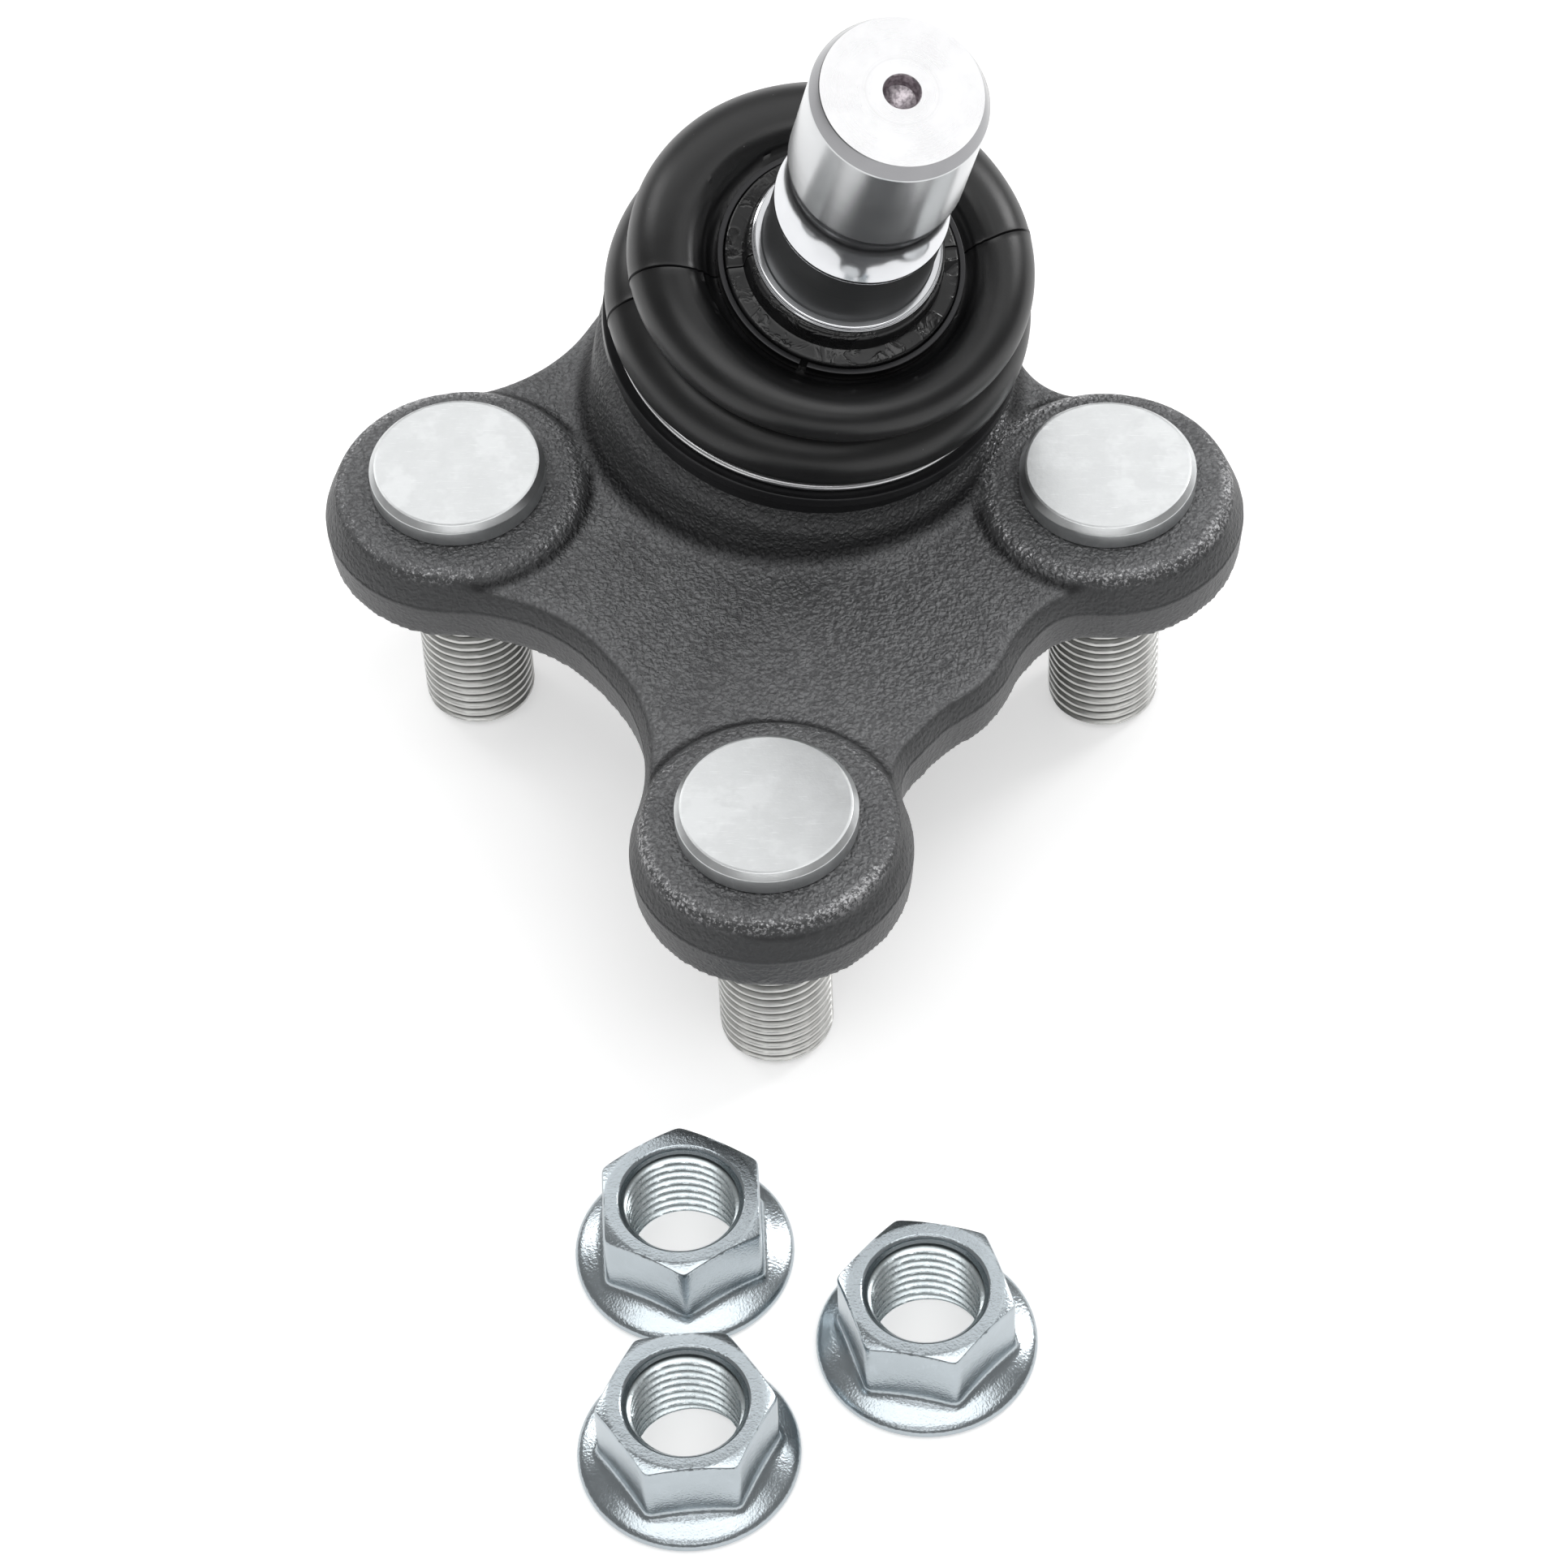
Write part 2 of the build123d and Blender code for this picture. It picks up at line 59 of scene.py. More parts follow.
# Sizes that the solids have too, in millimetres; a nut's third number is its turn in degrees
BALL_RADIUS = 14.0
BOSS_TOP = -3.6
MOUNTING_FACE = -12.6
PARTING_PLANE = -8.1
FLOOR_LEVEL = -38.3
PAD_FOOT = -5.1
NOSE_RADIUS = 18.6
CUP_SPOT = (-0.5, 0.5)
BOLT_PLACES = {"left": (-36.5, -13.1), "right": (32.5, -13.1), "front": (-2.2, -58.6)}
NUT_PLACES = {
    "left": (-10.8, -88.2, 4.0), "right": (14.2, -98.8, 20.0), "front": (-9.4, -112.2, 36.0),
}

# The threads' pitch, and the radii of their crests and roots
THREAD_PITCH = 1.25
BOLT_CREST, BOLT_ROOT = 6.0, 5.25
NUT_CREST, NUT_ROOT = 5.375, 6.02


def leaning(lean, azimuth):
    """Unit vector that leans from +Z by an angle, towards an azimuth from +X."""
    side = math.sin(math.radians(lean))
    turn = math.radians(azimuth)
    return Vector((side * math.cos(turn), side * math.sin(turn), math.cos(math.radians(lean))))


SOCKET_AXIS = leaning(11.5, -43.0)
STUD_AXIS = leaning(19.6, -56.6)


# Meshes

def standing(axis, towards=(0, -1, 0)):
    """Matrix that turns +Z onto an axis through the ball's centre and +X towards a side."""
    up = Vector(axis).normalized()
    side = Vector(towards)
    side = (side - up * side.dot(up)).normalized()
    return Matrix((side, up.cross(side), up)).transposed().to_4x4()


def in_metres(place):
    """The same placing with its shift turned from millimetres to metres."""
    matrix = place.copy()
    matrix.translation = matrix.translation * MM
    return matrix


def in_scene(name, data):
    """A new object in the scene."""
    made = bpy.data.objects.new(name, data)
    bpy.context.scene.collection.objects.link(made)
    return made


def shaded(mesh, sharp=None):
    """Smooth shading; edges that bend by more than an angle in degrees stay sharp."""
    mesh.polygons.foreach_set("use_smooth", [True] * len(mesh.polygons))
    if sharp:
        mesh.set_sharp_from_angle(angle=math.radians(sharp))


def sewn(mesh, gap=0.0, outwards=False):
    """Points closer than a gap in metres made one, and faces turned outwards if asked."""
    shell = bmesh.new()
    shell.from_mesh(mesh)
    if gap:
        bmesh.ops.remove_doubles(shell, verts=shell.verts, dist=gap)
    if outwards:
        bmesh.ops.recalc_face_normals(shell, faces=shell.faces)
    shell.to_mesh(mesh)
    shell.free()


def mesh_piece(name, points, faces, place, materials, face_materials=None, sharp=None):
    """A new object from points in millimetres, its place put into its mesh."""
    mesh = bpy.data.meshes.new(name)
    mesh.from_pydata([Vector(point) * MM for point in points], [], faces)
    for material in materials:
        mesh.materials.append(material)
    if face_materials is not None:
        mesh.polygons.foreach_set("material_index", face_materials)
    mesh.transform(in_metres(place))
    shaded(mesh, sharp)
    mesh.update()
    return in_scene(name, mesh)


def band_faces(rings, count):
    """Faces between rings that follow each other, each with the same count of points."""
    faces = []
    for low in range(0, (rings - 1) * count, count):
        high = low + count
        for step in range(count):
            after = (step + 1) % count
            faces.append((low + step, low + after, high + after, high + step))
    return faces


def softened(corners, radius, steps=4):
    """A profile's corners rounded; a third number on a corner is its own radius."""
    points = [Vector(corners[0][:2])]
    for before, corner, after in zip(corners, corners[1:], corners[2:]):
        here = Vector(corner[:2])
        back = Vector(before[:2]) - here
        on = Vector(after[:2]) - here
        bend = corner[2] if len(corner) > 2 else radius
        angle = back.angle(on)
        if bend <= 0 or angle > math.radians(176):
            points.append(here)
            continue
        reach = min(bend / math.tan(angle / 2), back.length * 0.48, on.length * 0.48)
        start = here + back.normalized() * reach
        end = here + on.normalized() * reach
        for step in range(steps + 1):
            share = step / steps
            inwards = start * (1 - share) + here * share
            onwards = here * (1 - share) + end * share
            points.append(inwards * (1 - share) + onwards * share)
    points.append(Vector(corners[-1][:2]))
    return [(point.x, point.y) for point in points]


def lathe_mesh(profile, segments):
    """Points and faces of a profile given as (radius, height), turned about +Z; faces point outwards
    when the profile runs from the bottom to the top of its outside."""
    points = []
    rings = []
    for radius, height in profile:
        if radius < 1e-6:
            rings.append([len(points)] * segments)
            points.append((0, 0, height))
            continue
        rings.append(list(range(len(points), len(points) + segments)))
        for step in range(segments):
            turn = 2 * math.pi * step / segments
            points.append((radius * math.cos(turn), radius * math.sin(turn), height))
    faces = []
    for low, high in zip(rings, rings[1:]):
        for step in range(segments):
            after = (step + 1) % segments
            face = list(dict.fromkeys([low[step], low[after], high[after], high[step]]))
            if len(face) > 2:
                faces.append(face)
    return points, faces


def lathe(name, profile, place, material, segments=160):
    """A turned piece."""
    points, faces = lathe_mesh(profile, segments)
    piece = mesh_piece(name, points, faces, place, [material])
    sewn(piece.data, 1e-7)
    shaded(piece.data, 32)
    return piece


def open_rims(shell):
    """The rings of open edges of a mesh, lowest first."""
    left = {edge for edge in shell.edges if len(edge.link_faces) == 1}
    rims = []
    while left:
        rim = [left.pop()]
        for edge in rim:
            near = [other for corner in edge.verts for other in corner.link_edges if other in left]
            rim += near
            left.difference_update(near)
        rims.append(rim)
    return sorted(rims, key=lambda rim: sum(edge.verts[0].co.z for edge in rim) / len(rim))


def joined(name, pieces):
    """Several objects made one closed shell: each open rim is bridged to the one it meets."""
    shell = bmesh.new()
    materials = []
    for piece in pieces:
        for material in piece.data.materials:
            if material not in materials:
                materials.append(material)
        slots = [materials.index(material) for material in piece.data.materials]
        before = len(shell.faces)
        shell.from_mesh(piece.data)
        shell.faces.ensure_lookup_table()
        for face in shell.faces[before:]:
            face.material_index = slots[face.material_index]
    rims = open_rims(shell)
    for low, high in zip(rims[::2], rims[1::2]):
        bmesh.ops.bridge_loops(shell, edges=low + high)
    bmesh.ops.recalc_face_normals(shell, faces=shell.faces)
    mesh = bpy.data.meshes.new(name)
    shell.to_mesh(mesh)
    shell.free()
    for material in materials:
        mesh.materials.append(material)
    for piece in pieces:
        bpy.data.objects.remove(piece)
    return in_scene(name, mesh)


# Shader maths

class Wire:
    """One output of a shader node; Python's operators on it add Math nodes."""

    def __init__(self, paint, socket):
        self.paint = paint
        self.socket = socket

    def __add__(self, other):
        return self.paint.maths("ADD", self, other)

    def __radd__(self, other):
        return self.paint.maths("ADD", other, self)

    def __sub__(self, other):
        return self.paint.maths("SUBTRACT", self, other)

    def __rsub__(self, other):
        return self.paint.maths("SUBTRACT", other, self)

    def __mul__(self, other):
        return self.paint.maths("MULTIPLY", self, other)

    def __rmul__(self, other):
        return self.paint.maths("MULTIPLY", other, self)

    def __pow__(self, other):
        return self.paint.maths("POWER", self, other)

    def __abs__(self):
        return self.paint.maths("ABSOLUTE", self)


class Paint:
    """A material, its nodes made by plain calls."""

    def __init__(self, name, world=None):
        self.holder = world or bpy.data.materials.new(name)
        self.holder.use_nodes = True
        self.tree = self.holder.node_tree
        self.tree.nodes.clear()

    def node(self, kind, settings=None, sockets=None, out=0):
        """Any node: its settings first, then what goes into its sockets."""
        made = self.tree.nodes.new(kind)
        for key, value in (settings or {}).items():
            setattr(made, key, value)
        for key, value in (sockets or {}).items():
            self.plug(made, key, value)
        return Wire(self, made.outputs[out])

    def plug(self, made, key, value):
        """A link or a plain value into one socket."""
        socket = made.inputs[key] if isinstance(key, int) else self.socket_named(made, key)
        if isinstance(value, Wire):
            self.tree.links.new(value.socket, socket)
        elif isinstance(value, (tuple, list)) and socket.type == "RGBA" and len(value) == 3:
            socket.default_value = (*value, 1)
        else:
            socket.default_value = value

    def socket_named(self, made, key):
        for socket in made.inputs:
            if socket.identifier == key or (socket.name == key and socket.enabled):
                return socket
        raise KeyError(f"{made.bl_idname} has no socket {key}")

    def maths(self, operation, *values):
        return self.node("ShaderNodeMath", {"operation": operation}, dict(enumerate(values)))

    def vectors(self, operation, a, b=None, scale=None):
        """Vector maths."""
        sockets = {0: a}
        if b is not None:
            sockets[1] = b
        if scale is not None:
            sockets["Scale"] = scale
        return self.node("ShaderNodeVectorMath", {"operation": operation}, sockets)

    def least(self, a, b):
        return self.maths("MINIMUM", a, b)

    def most(self, a, b):
        return self.maths("MAXIMUM", a, b)

    def rise(self, value, low, high):
        """0 below low, 1 above high, smooth between."""
        return self.node(
            "ShaderNodeMapRange", {"interpolation_type": "SMOOTHSTEP"},
            {"Value": value, "From Min": low, "From Max": high, "To Min": 0.0, "To Max": 1.0})

    def rise_mm(self, value, low, high):
        """The same for a length, its two ends given in millimetres."""
        return self.rise(value, low * MM, high * MM)

    def place(self):
        """Position on the piece, in metres of the shared frame."""
        return self.node("ShaderNodeTexCoord", out=3)

    def turned_place(self, axis):
        """Position with +Z along an axis through the ball's centre."""
        turn = standing(axis).to_3x3().inverted().to_euler()
        return self.node(
            "ShaderNodeMapping", {"vector_type": "POINT"}, {"Vector": self.place(), "Rotation": tuple(turn)})

    def turning(self, axis):
        """That position, and a place that changes only from ring to ring about the axis."""
        place = self.turned_place(axis)
        x, y, z = self.split(place)
        return place, self.merged(0.0, 0.0, z + (x * x + y * y) ** 0.5)

    def reach(self, place, spot):
        """Distance from an upright line that stands at a spot given in millimetres."""
        x, y, _ = self.split(place)
        return ((x - spot[0] * MM) ** 2 + (y - spot[1] * MM) ** 2) ** 0.5

    def split(self, vector):
        made = self.tree.nodes.new("ShaderNodeSeparateXYZ")
        self.tree.links.new(vector.socket, made.inputs[0])
        return [Wire(self, made.outputs[index]) for index in range(3)]

    def merged(self, x, y, z):
        return self.node("ShaderNodeCombineXYZ", sockets={0: x, 1: y, 2: z})

    def grain(self, place, size, detail=2.0, rough=0.5, twist=0.0):
        """Noise whose lumps are about a size in millimetres across, 0 to 1."""
        return self.node(
            "ShaderNodeTexNoise", {"noise_dimensions": "3D"},
            {"Vector": place, "Scale": 1000.0 / size, "Detail": detail, "Roughness": rough, "Distortion": twist})

    def specks(self, place, spacing, size):
        """Small round dots, 1 inside, with a spacing and a size in millimetres."""
        near = self.node("ShaderNodeTexVoronoi", {"feature": "F1"}, {"Vector": place, "Scale": 1000.0 / spacing})
        return 1 - self.rise(near, 0.5 * size / spacing, size / spacing)

    def colour(self, share, a, b):
        """Colour between two, by a share from 0 to 1."""
        return self.node(
            "ShaderNodeMix", {"data_type": "RGBA", "clamp_factor": True},
            {"Factor_Float": share, "A_Color": a, "B_Color": b}, out=2)

    def bump(self, height, depth, strength=1.0, over=None):
        """Relief: a height from 0 to 1 that stands for a depth in millimetres."""
        sockets = {"Height": height, "Distance": depth * MM, "Strength": strength}
        if over is not None:
            sockets["Normal"] = over
        return self.node("ShaderNodeBump", None, sockets)

    def finish(self, **sockets):
        """The shader, and the material itself."""
        names = {
            "base": "Base Color", "rough": "Roughness", "metal": "Metallic", "normal": "Normal",
            "specular": "Specular IOR Level",
        }
        shader = self.node("ShaderNodeBsdfPrincipled", None, {names[key]: value for key, value in sockets.items()})
        out = self.tree.nodes.new("ShaderNodeOutputMaterial")
        self.tree.links.new(shader.socket, out.inputs["Surface"])
        return self.holder


# Finishes

def toned(tint, share):
    """A tint darkened, or lightened up to white."""
    return tuple(min(1, part * share) for part in tint)


def shot_blasted_forging():
    """Grey coated forging: a pebbled skin like fine leather, brighter where its pads' rims are rubbed. Its colour
    also holds painted light and shade: upward faces lighter than the flanks, the lower flank band and the cup's
    shoulder lighter, and painted shade between the pebbles, at the pads' feet and round the cup's foot.
    """
    paint = Paint("forging_grey")
    place = paint.place()
    _, _, z = paint.split(place)
    _, _, up = paint.split(paint.node("ShaderNodeNewGeometry", out=1))
    level = paint.rise(up, 0.55, 0.95)

    # Pebbles whose outlines are bent by a finer noise
    warp = paint.node(
        "ShaderNodeTexNoise", {"noise_dimensions": "3D"}, {"Vector": place, "Scale": 1500.0, "Detail": 1.0}, out=1)
    warp = paint.vectors("SCALE", paint.vectors("SUBTRACT", warp, (0.5, 0.5, 0.5)), scale=0.8 * MM)
    bent = paint.vectors("ADD", place, warp)
    pebbles = paint.node("ShaderNodeTexVoronoi", {"feature": "F1"}, {"Vector": bent, "Scale": 1750.0})
    pebble = 1 - paint.rise(pebbles, 0.05, 0.75)
    sand = paint.grain(place, 0.35, 3.0, 0.65)
    broad = paint.grain(place, 4.0, 3.0, 0.55)
    wide = paint.grain(place, 18.0, 2.0, 0.5)
    relief = pebble * 0.6 + sand * 0.6

    # Where each of them is: the trimmed ridge, the pads' rims, and the corners at the pads' feet and round the
    # cup's foot, these last two for painted shade
    trimmed = 1 - paint.rise_mm(abs(z - PARTING_PLANE * MM), 0.05, 0.45)
    rim = 0.0
    corner = 0.0
    for spot in BOLT_PLACES.values():
        reach = paint.reach(place, spot)
        rim = rim + paint.rise_mm(reach, 11.8, 12.5) * (1 - paint.rise_mm(reach, 12.9, 13.7))
        corner = corner + paint.rise_mm(reach, 13.2, 13.8) * (1 - paint.rise_mm(reach, 14.0, 15.0))
    rim = rim * paint.rise_mm(z, -5.8, -4.6)
    at_foot = 1 - paint.rise_mm(abs(z - PAD_FOOT * MM), 0.2, 0.7)
    corner = corner * at_foot * paint.rise(up, 0.30, 0.60)
    cup_reach = paint.reach(place, CUP_SPOT)
    above = paint.rise_mm(z, -4.0, -2.6)
    cup_foot_shade = (1 - paint.rise_mm(cup_reach, 23.4, 25.0)) * (1 - above)
    shoulder = (1 - paint.rise_mm(cup_reach, 24.0, 25.5)) * above
    rubbed = paint.least(rim, 1.0) * paint.rise(wide * 0.4 + sand * 0.6, 0.50, 0.57)
    rough_skin = paint.least(level + shoulder, 1.0)

    normal = paint.bump(broad, 0.12, 0.5)
    normal = paint.bump(trimmed, 0.22, 0.8, normal)
    normal = paint.bump(relief, 0.30, 0.5 + rough_skin * 0.5, normal)

    # Painted light and shade on the flanks: the band under the parting plane is painted lighter, the upper flank
    # darker
    upper_flank_shade = paint.rise_mm(z, PARTING_PLANE - 0.2, PARTING_PLANE + 0.1)
    flank = paint.colour(upper_flank_shade, (0.096, 0.097, 0.099), (0.066, 0.067, 0.069))
    # Painted highlight: the shoulder round the cup gets a lighter colour
    flank = paint.colour(shoulder, flank, (0.095, 0.096, 0.098))
    cloud = paint.rise(broad * 0.5 + wide * 0.5, 0.35, 0.65)
    # Painted light: faces that look up get a much lighter colour than the flanks, mottled by the cloud
    top = paint.colour(cloud, (0.168, 0.170, 0.174), (0.205, 0.208, 0.212))
    shade = paint.colour(level, flank, top)
    # Painted shade in the low parts between the pebbles, on upward faces and the shoulder
    hollow_shade = (1 - paint.rise(relief, 0.20, 0.50)) * 0.6 * rough_skin
    shade = paint.colour(hollow_shade, shade, (0.040, 0.040, 0.042))
    shade = paint.colour(rubbed * 0.8, shade, (0.50, 0.50, 0.51))
    # Painted shade: near-black in the corners at the pads' feet and round the cup's foot
    shade = paint.colour(paint.least(corner * 0.8 + cup_foot_shade * 0.9, 0.92), shade, (0.008, 0.008, 0.009))
    rough = 0.46 + (broad - 0.5) * 0.12 - rubbed * 0.16
    return paint.finish(base=shade, rough=rough, metal=0.5 + rubbed * 0.4, normal=normal)


def turned_collar():
    """The collar under the boot, with faint turning lines; its colour is the forging's dark coat made near-black
    as painted shade from the boot.
    """
    paint = Paint("collar_dark")
    place, ring_place = paint.turning(SOCKET_AXIS)
    lines = paint.grain(ring_place, 0.35, 3.0, 0.7)
    cloud = paint.grain(place, 3.0, 3.0, 0.6)
    # Painted shade: the coat's colour made near-black, as in the boot's shadow
    shade = paint.colour(cloud, (0.009, 0.009, 0.010), (0.017, 0.017, 0.019))
    rough = 0.34 + (cloud - 0.5) * 0.15
    return paint.finish(base=shade, rough=rough, metal=0.4, normal=paint.bump(lines, 0.01, 0.5))


def plated_thread(name, tint, dull, spots, root, crest):
    """Zinc plate on threads that stand at the spots: the plate's colour on the crest, painted shade in the roots;
    both radii in millimetres.
    """
    paint = Paint(name)
    place = paint.place()
    reach = 1.0
    for spot in spots.values():
        reach = paint.least(paint.reach(place, spot), reach)
    crests = paint.rise_mm(reach, root, crest) if crest > root else 1 - paint.rise_mm(reach, crest, root)
    cloud = paint.grain(place, 2.2, 3.0, 0.6)
    fine = paint.grain(place, 0.3, 2.0, 0.5)
    plate = paint.colour(cloud, toned(tint, 0.72), tint)
    # Painted shade: the roots darkened to a fifth of the plate's colour
    shade = paint.colour(crests, toned(tint, 0.22), plate)
    rough = dull + (1 - crests) * 0.12 + (fine - 0.5) * 0.15
    return paint.finish(base=shade, rough=rough, metal=1.0, normal=paint.bump(fine, 0.02, 0.6))


def zinc_plate(name, tint, dull, scratch, blotch, pitting):
    """Zinc plate: a cloudy pale metal, with fine scratches, pale blotches and small pits."""
    paint = Paint(name)
    place = paint.place()
    cloud = paint.grain(place, 3.0, 4.0, 0.6)
    pale = paint.grain(place, 7.0, 4.0, 0.7)
    fine = paint.grain(place, 0.25, 2.0, 0.5)
    stretched = paint.node(
        "ShaderNodeMapping", None, {"Vector": place, "Scale": (1.0, 14.0, 1.0), "Rotation": (0, 0, 0.7)})
    lines = paint.rise(paint.grain(stretched, 2.2, 3.0, 0.7), 0.60, 0.66) * scratch
    shade = paint.colour(paint.rise(cloud, 0.3, 0.75), toned(tint, 0.92), tint)
    shade = paint.colour(paint.rise(pale, 0.50, 0.62) * blotch, shade, toned(tint, 1.14))
    shade = paint.colour(lines, shade, toned(tint, 1.15))
    normal = paint.bump(fine, 0.03 * pitting, pitting)
    normal = paint.bump(cloud, 0.025, pitting, normal)
    rough = dull + (cloud - 0.5) * 0.12 + fine * 0.06 - lines * 0.1
    return paint.finish(base=shade, rough=rough, metal=1.0, normal=normal)


def turned_steel(name, tint, dull, ridges, ridge_size, metal=1.0):
    """Steel off the lathe: fine rings about the stud's axis, a few of them deeper."""
    paint = Paint(name)
    place, ring_place = paint.turning(STUD_AXIS)
    rings = paint.grain(ring_place, ridge_size, 3.0, 0.7)
    marks = paint.rise(paint.grain(ring_place, ridge_size * 4, 2.0, 0.6), 0.58, 0.66)
    cloud = paint.grain(place, 4.0, 3.0, 0.6)
    normal = paint.bump(rings + marks * 0.4, 0.006, ridges)
    shade = paint.colour(paint.rise(cloud, 0.3, 0.7), toned(tint, 0.94), tint)
    shade = paint.colour(marks * 0.3, shade, toned(tint, 0.8))
    rough = dull + (cloud - 0.5) * 0.06 + (rings - 0.5) * 0.08
    return paint.finish(base=shade, rough=rough, metal=metal, normal=normal)


def drilled_hole():
    """The rough, faintly pink inside of the pin's centre hole."""
    paint = Paint("centre_hole")
    place = paint.place()
    rough = paint.grain(place, 0.5, 3.0, 0.7)
    shade = paint.colour(paint.rise(rough, 0.35, 0.65), (0.26, 0.23, 0.25), (0.62, 0.57, 0.60))
    return paint.finish(base=shade, rough=0.30 + rough * 0.2, metal=0.9, normal=paint.bump(rough, 0.10, 0.8))


def moulded_rubber():
    """Black rubber: soft shine, dust, and grease by the pin."""
    paint = Paint("boot_rubber")
    place = paint.place()
    x, y, z = paint.split(paint.turned_place(STUD_AXIS))
    reach = (x * x + y * y) ** 0.5
    fine = paint.grain(place, 0.3, 3.0, 0.6)
    cloud = paint.grain(place, 6.0, 4.0, 0.6)
    smear = paint.grain(place, 2.4, 3.0, 0.6, 0.6)
    by_pin = (1 - paint.rise_mm(reach, 11.8, 14.0)) * paint.rise_mm(z, 22.0, 24.0)
    grease = by_pin * paint.rise(smear, 0.46, 0.60)
    dust = paint.specks(place, 2.4, 0.10) * paint.rise(paint.grain(place, 9.0), 0.42, 0.58)
    shade = paint.colour(cloud, (0.0035, 0.0035, 0.0038), (0.0065, 0.0065, 0.0070))
    faded = paint.rise(paint.grain(place, 11.0, 3.0, 0.6), 0.50, 0.70)
    shade = paint.colour(faded * 0.35, shade, (0.016, 0.016, 0.017))
    shade = paint.colour(dust * 0.5, shade, (0.20, 0.20, 0.20))
    normal = paint.bump(fine, 0.012, 0.5)
    normal = paint.bump(smear * grease, 0.12, 0.8, normal)
    rough = 0.36 + (cloud - 0.5) * 0.18 - grease * 0.2
    return paint.finish(base=shade, rough=rough, metal=0.0, normal=normal, specular=0.5)


def plain_plastic():
    """Pale bearing plastic with a faint moulded grain."""
    paint = Paint("bearing_plastic")
    place = paint.place()
    fine = paint.grain(place, 0.4, 2.0, 0.5)
    shade = paint.colour(fine, (0.72, 0.70, 0.64), (0.80, 0.78, 0.72))
    return paint.finish(base=shade, rough=0.4 + fine * 0.1, metal=0.0, normal=paint.bump(fine, 0.01, 0.4))


def plain_steel(name, tint, dull):
    """Pressed or drawn steel with a rolled grain."""
    paint = Paint(name)
    place = paint.place()
    fine = paint.grain(place, 0.4, 3.0, 0.6)
    cloud = paint.grain(place, 5.0, 3.0, 0.6)
    shade = paint.colour(cloud, toned(tint, 0.85), tint)
    return paint.finish(base=shade, rough=dull + fine * 0.08, metal=1.0, normal=paint.bump(fine, 0.01, 0.4))


FORGING = shot_blasted_forging()
COLLAR = turned_collar()
BOLT_ZINC = zinc_plate("bolt_zinc", (0.72, 0.735, 0.74), 0.33, 0.5, 0.4, 0.5)
THREAD_ZINC = plated_thread(
    "thread_zinc", (0.74, 0.74, 0.72), 0.42, BOLT_PLACES, root=BOLT_ROOT + 0.2, crest=BOLT_CREST - 0.15)
NUT_ZINC = zinc_plate("nut_zinc", (0.47, 0.52, 0.55), 0.20, 0.2, 0.0, 1.0)
# Painted light: the nut's thread gets a much lighter copy of the nut's zinc, standing in for light in the bore
NUT_THREAD_ZINC_LIT = plated_thread("nut_thread_zinc", (0.72, 0.79, 0.81), 0.28, NUT_PLACES, root=6.05, crest=5.65)
# Painted highlight: the pin's end face is a much lighter copy of its turned steel
STUD_FACE_LIT = turned_steel("stud_face", (0.92, 0.92, 0.93), 0.28, 0.5, 0.25)
STUD_BRIGHT = turned_steel("stud_bright", (0.72, 0.73, 0.75), 0.15, 0.35, 0.4)
STUD_SHANK = turned_steel("stud_shank", (0.62, 0.63, 0.64), 0.22, 0.5, 0.3)
# Painted shade: the chamfer is a darker copy of the pin's turned steel
STUD_CHAMFER_SHADED = turned_steel("stud_chamfer", (0.32, 0.32, 0.33), 0.16, 0.5, 0.3)
STUD_SATIN = turned_steel("stud_satin", (0.058, 0.060, 0.062), 0.38, 0.7, 0.3, 0.6)
CENTRE_HOLE = drilled_hole()
RUBBER = moulded_rubber()
BASE_RING_STEEL = plain_steel("base_ring_steel", (0.62, 0.62, 0.63), 0.20)
NECK_RING_STEEL = plain_steel("neck_ring_steel", (0.050, 0.050, 0.052), 0.36)
PLASTIC = plain_plastic()
SPRING_STEEL = plain_steel("spring_steel", (0.32, 0.32, 0.33), 0.35)
CAP_STEEL = plain_steel("cap_steel", (0.42, 0.42, 0.43), 0.38)


# Forging

# How far the forging is drawn in under the collar, in millimetres
UNDER_COLLAR = 0.25


def even_mesh(node, spacing):
    """A CAD node's shape as quads of one size, and its points in millimetres."""
    mesh = frame["nodes"][node].data.copy()
    sewn(mesh, 1e-6)
    holder = in_scene("even", mesh)
    modifier = holder.modifiers.new("even", "REMESH")
    modifier.mode = "VOXEL"
    modifier.voxel_size = spacing * MM
    bpy.context.view_layer.update()
    even = bpy.data.meshes.new_from_object(holder.evaluated_get(bpy.context.evaluated_depsgraph_get()))
    bpy.data.objects.remove(holder)
    points = np.empty(len(even.vertices) * 3)
    even.vertices.foreach_get("co", points)
    return even, points.reshape(-1, 3) / MM


def drawn_in(mesh, points, steps, pull):
    """Points drawn step by step towards the mean of their neighbours; pull says how far for each one."""
    edges = np.empty(len(mesh.edges) * 2, dtype=np.int32)
    mesh.edges.foreach_get("vertices", edges)
    one, other = edges.reshape(-1, 2).T
    count = np.bincount(edges, minlength=len(points))
    for _ in range(steps):
        sums = [
            np.bincount(one, points[other, axis], len(points)) + np.bincount(other, points[one, axis], len(points))
            for axis in range(3)]
        mean = np.stack(sums, axis=1) / count[:, None]
        points = points + (mean - points) * pull[:, None]
    return points


def in_socket_frame(points):
    """Radius from the socket's axis, and height along it."""
    axis = np.array(SOCKET_AXIS)
    height = points @ axis
    return np.linalg.norm(points - height[:, None] * axis, axis=1), height


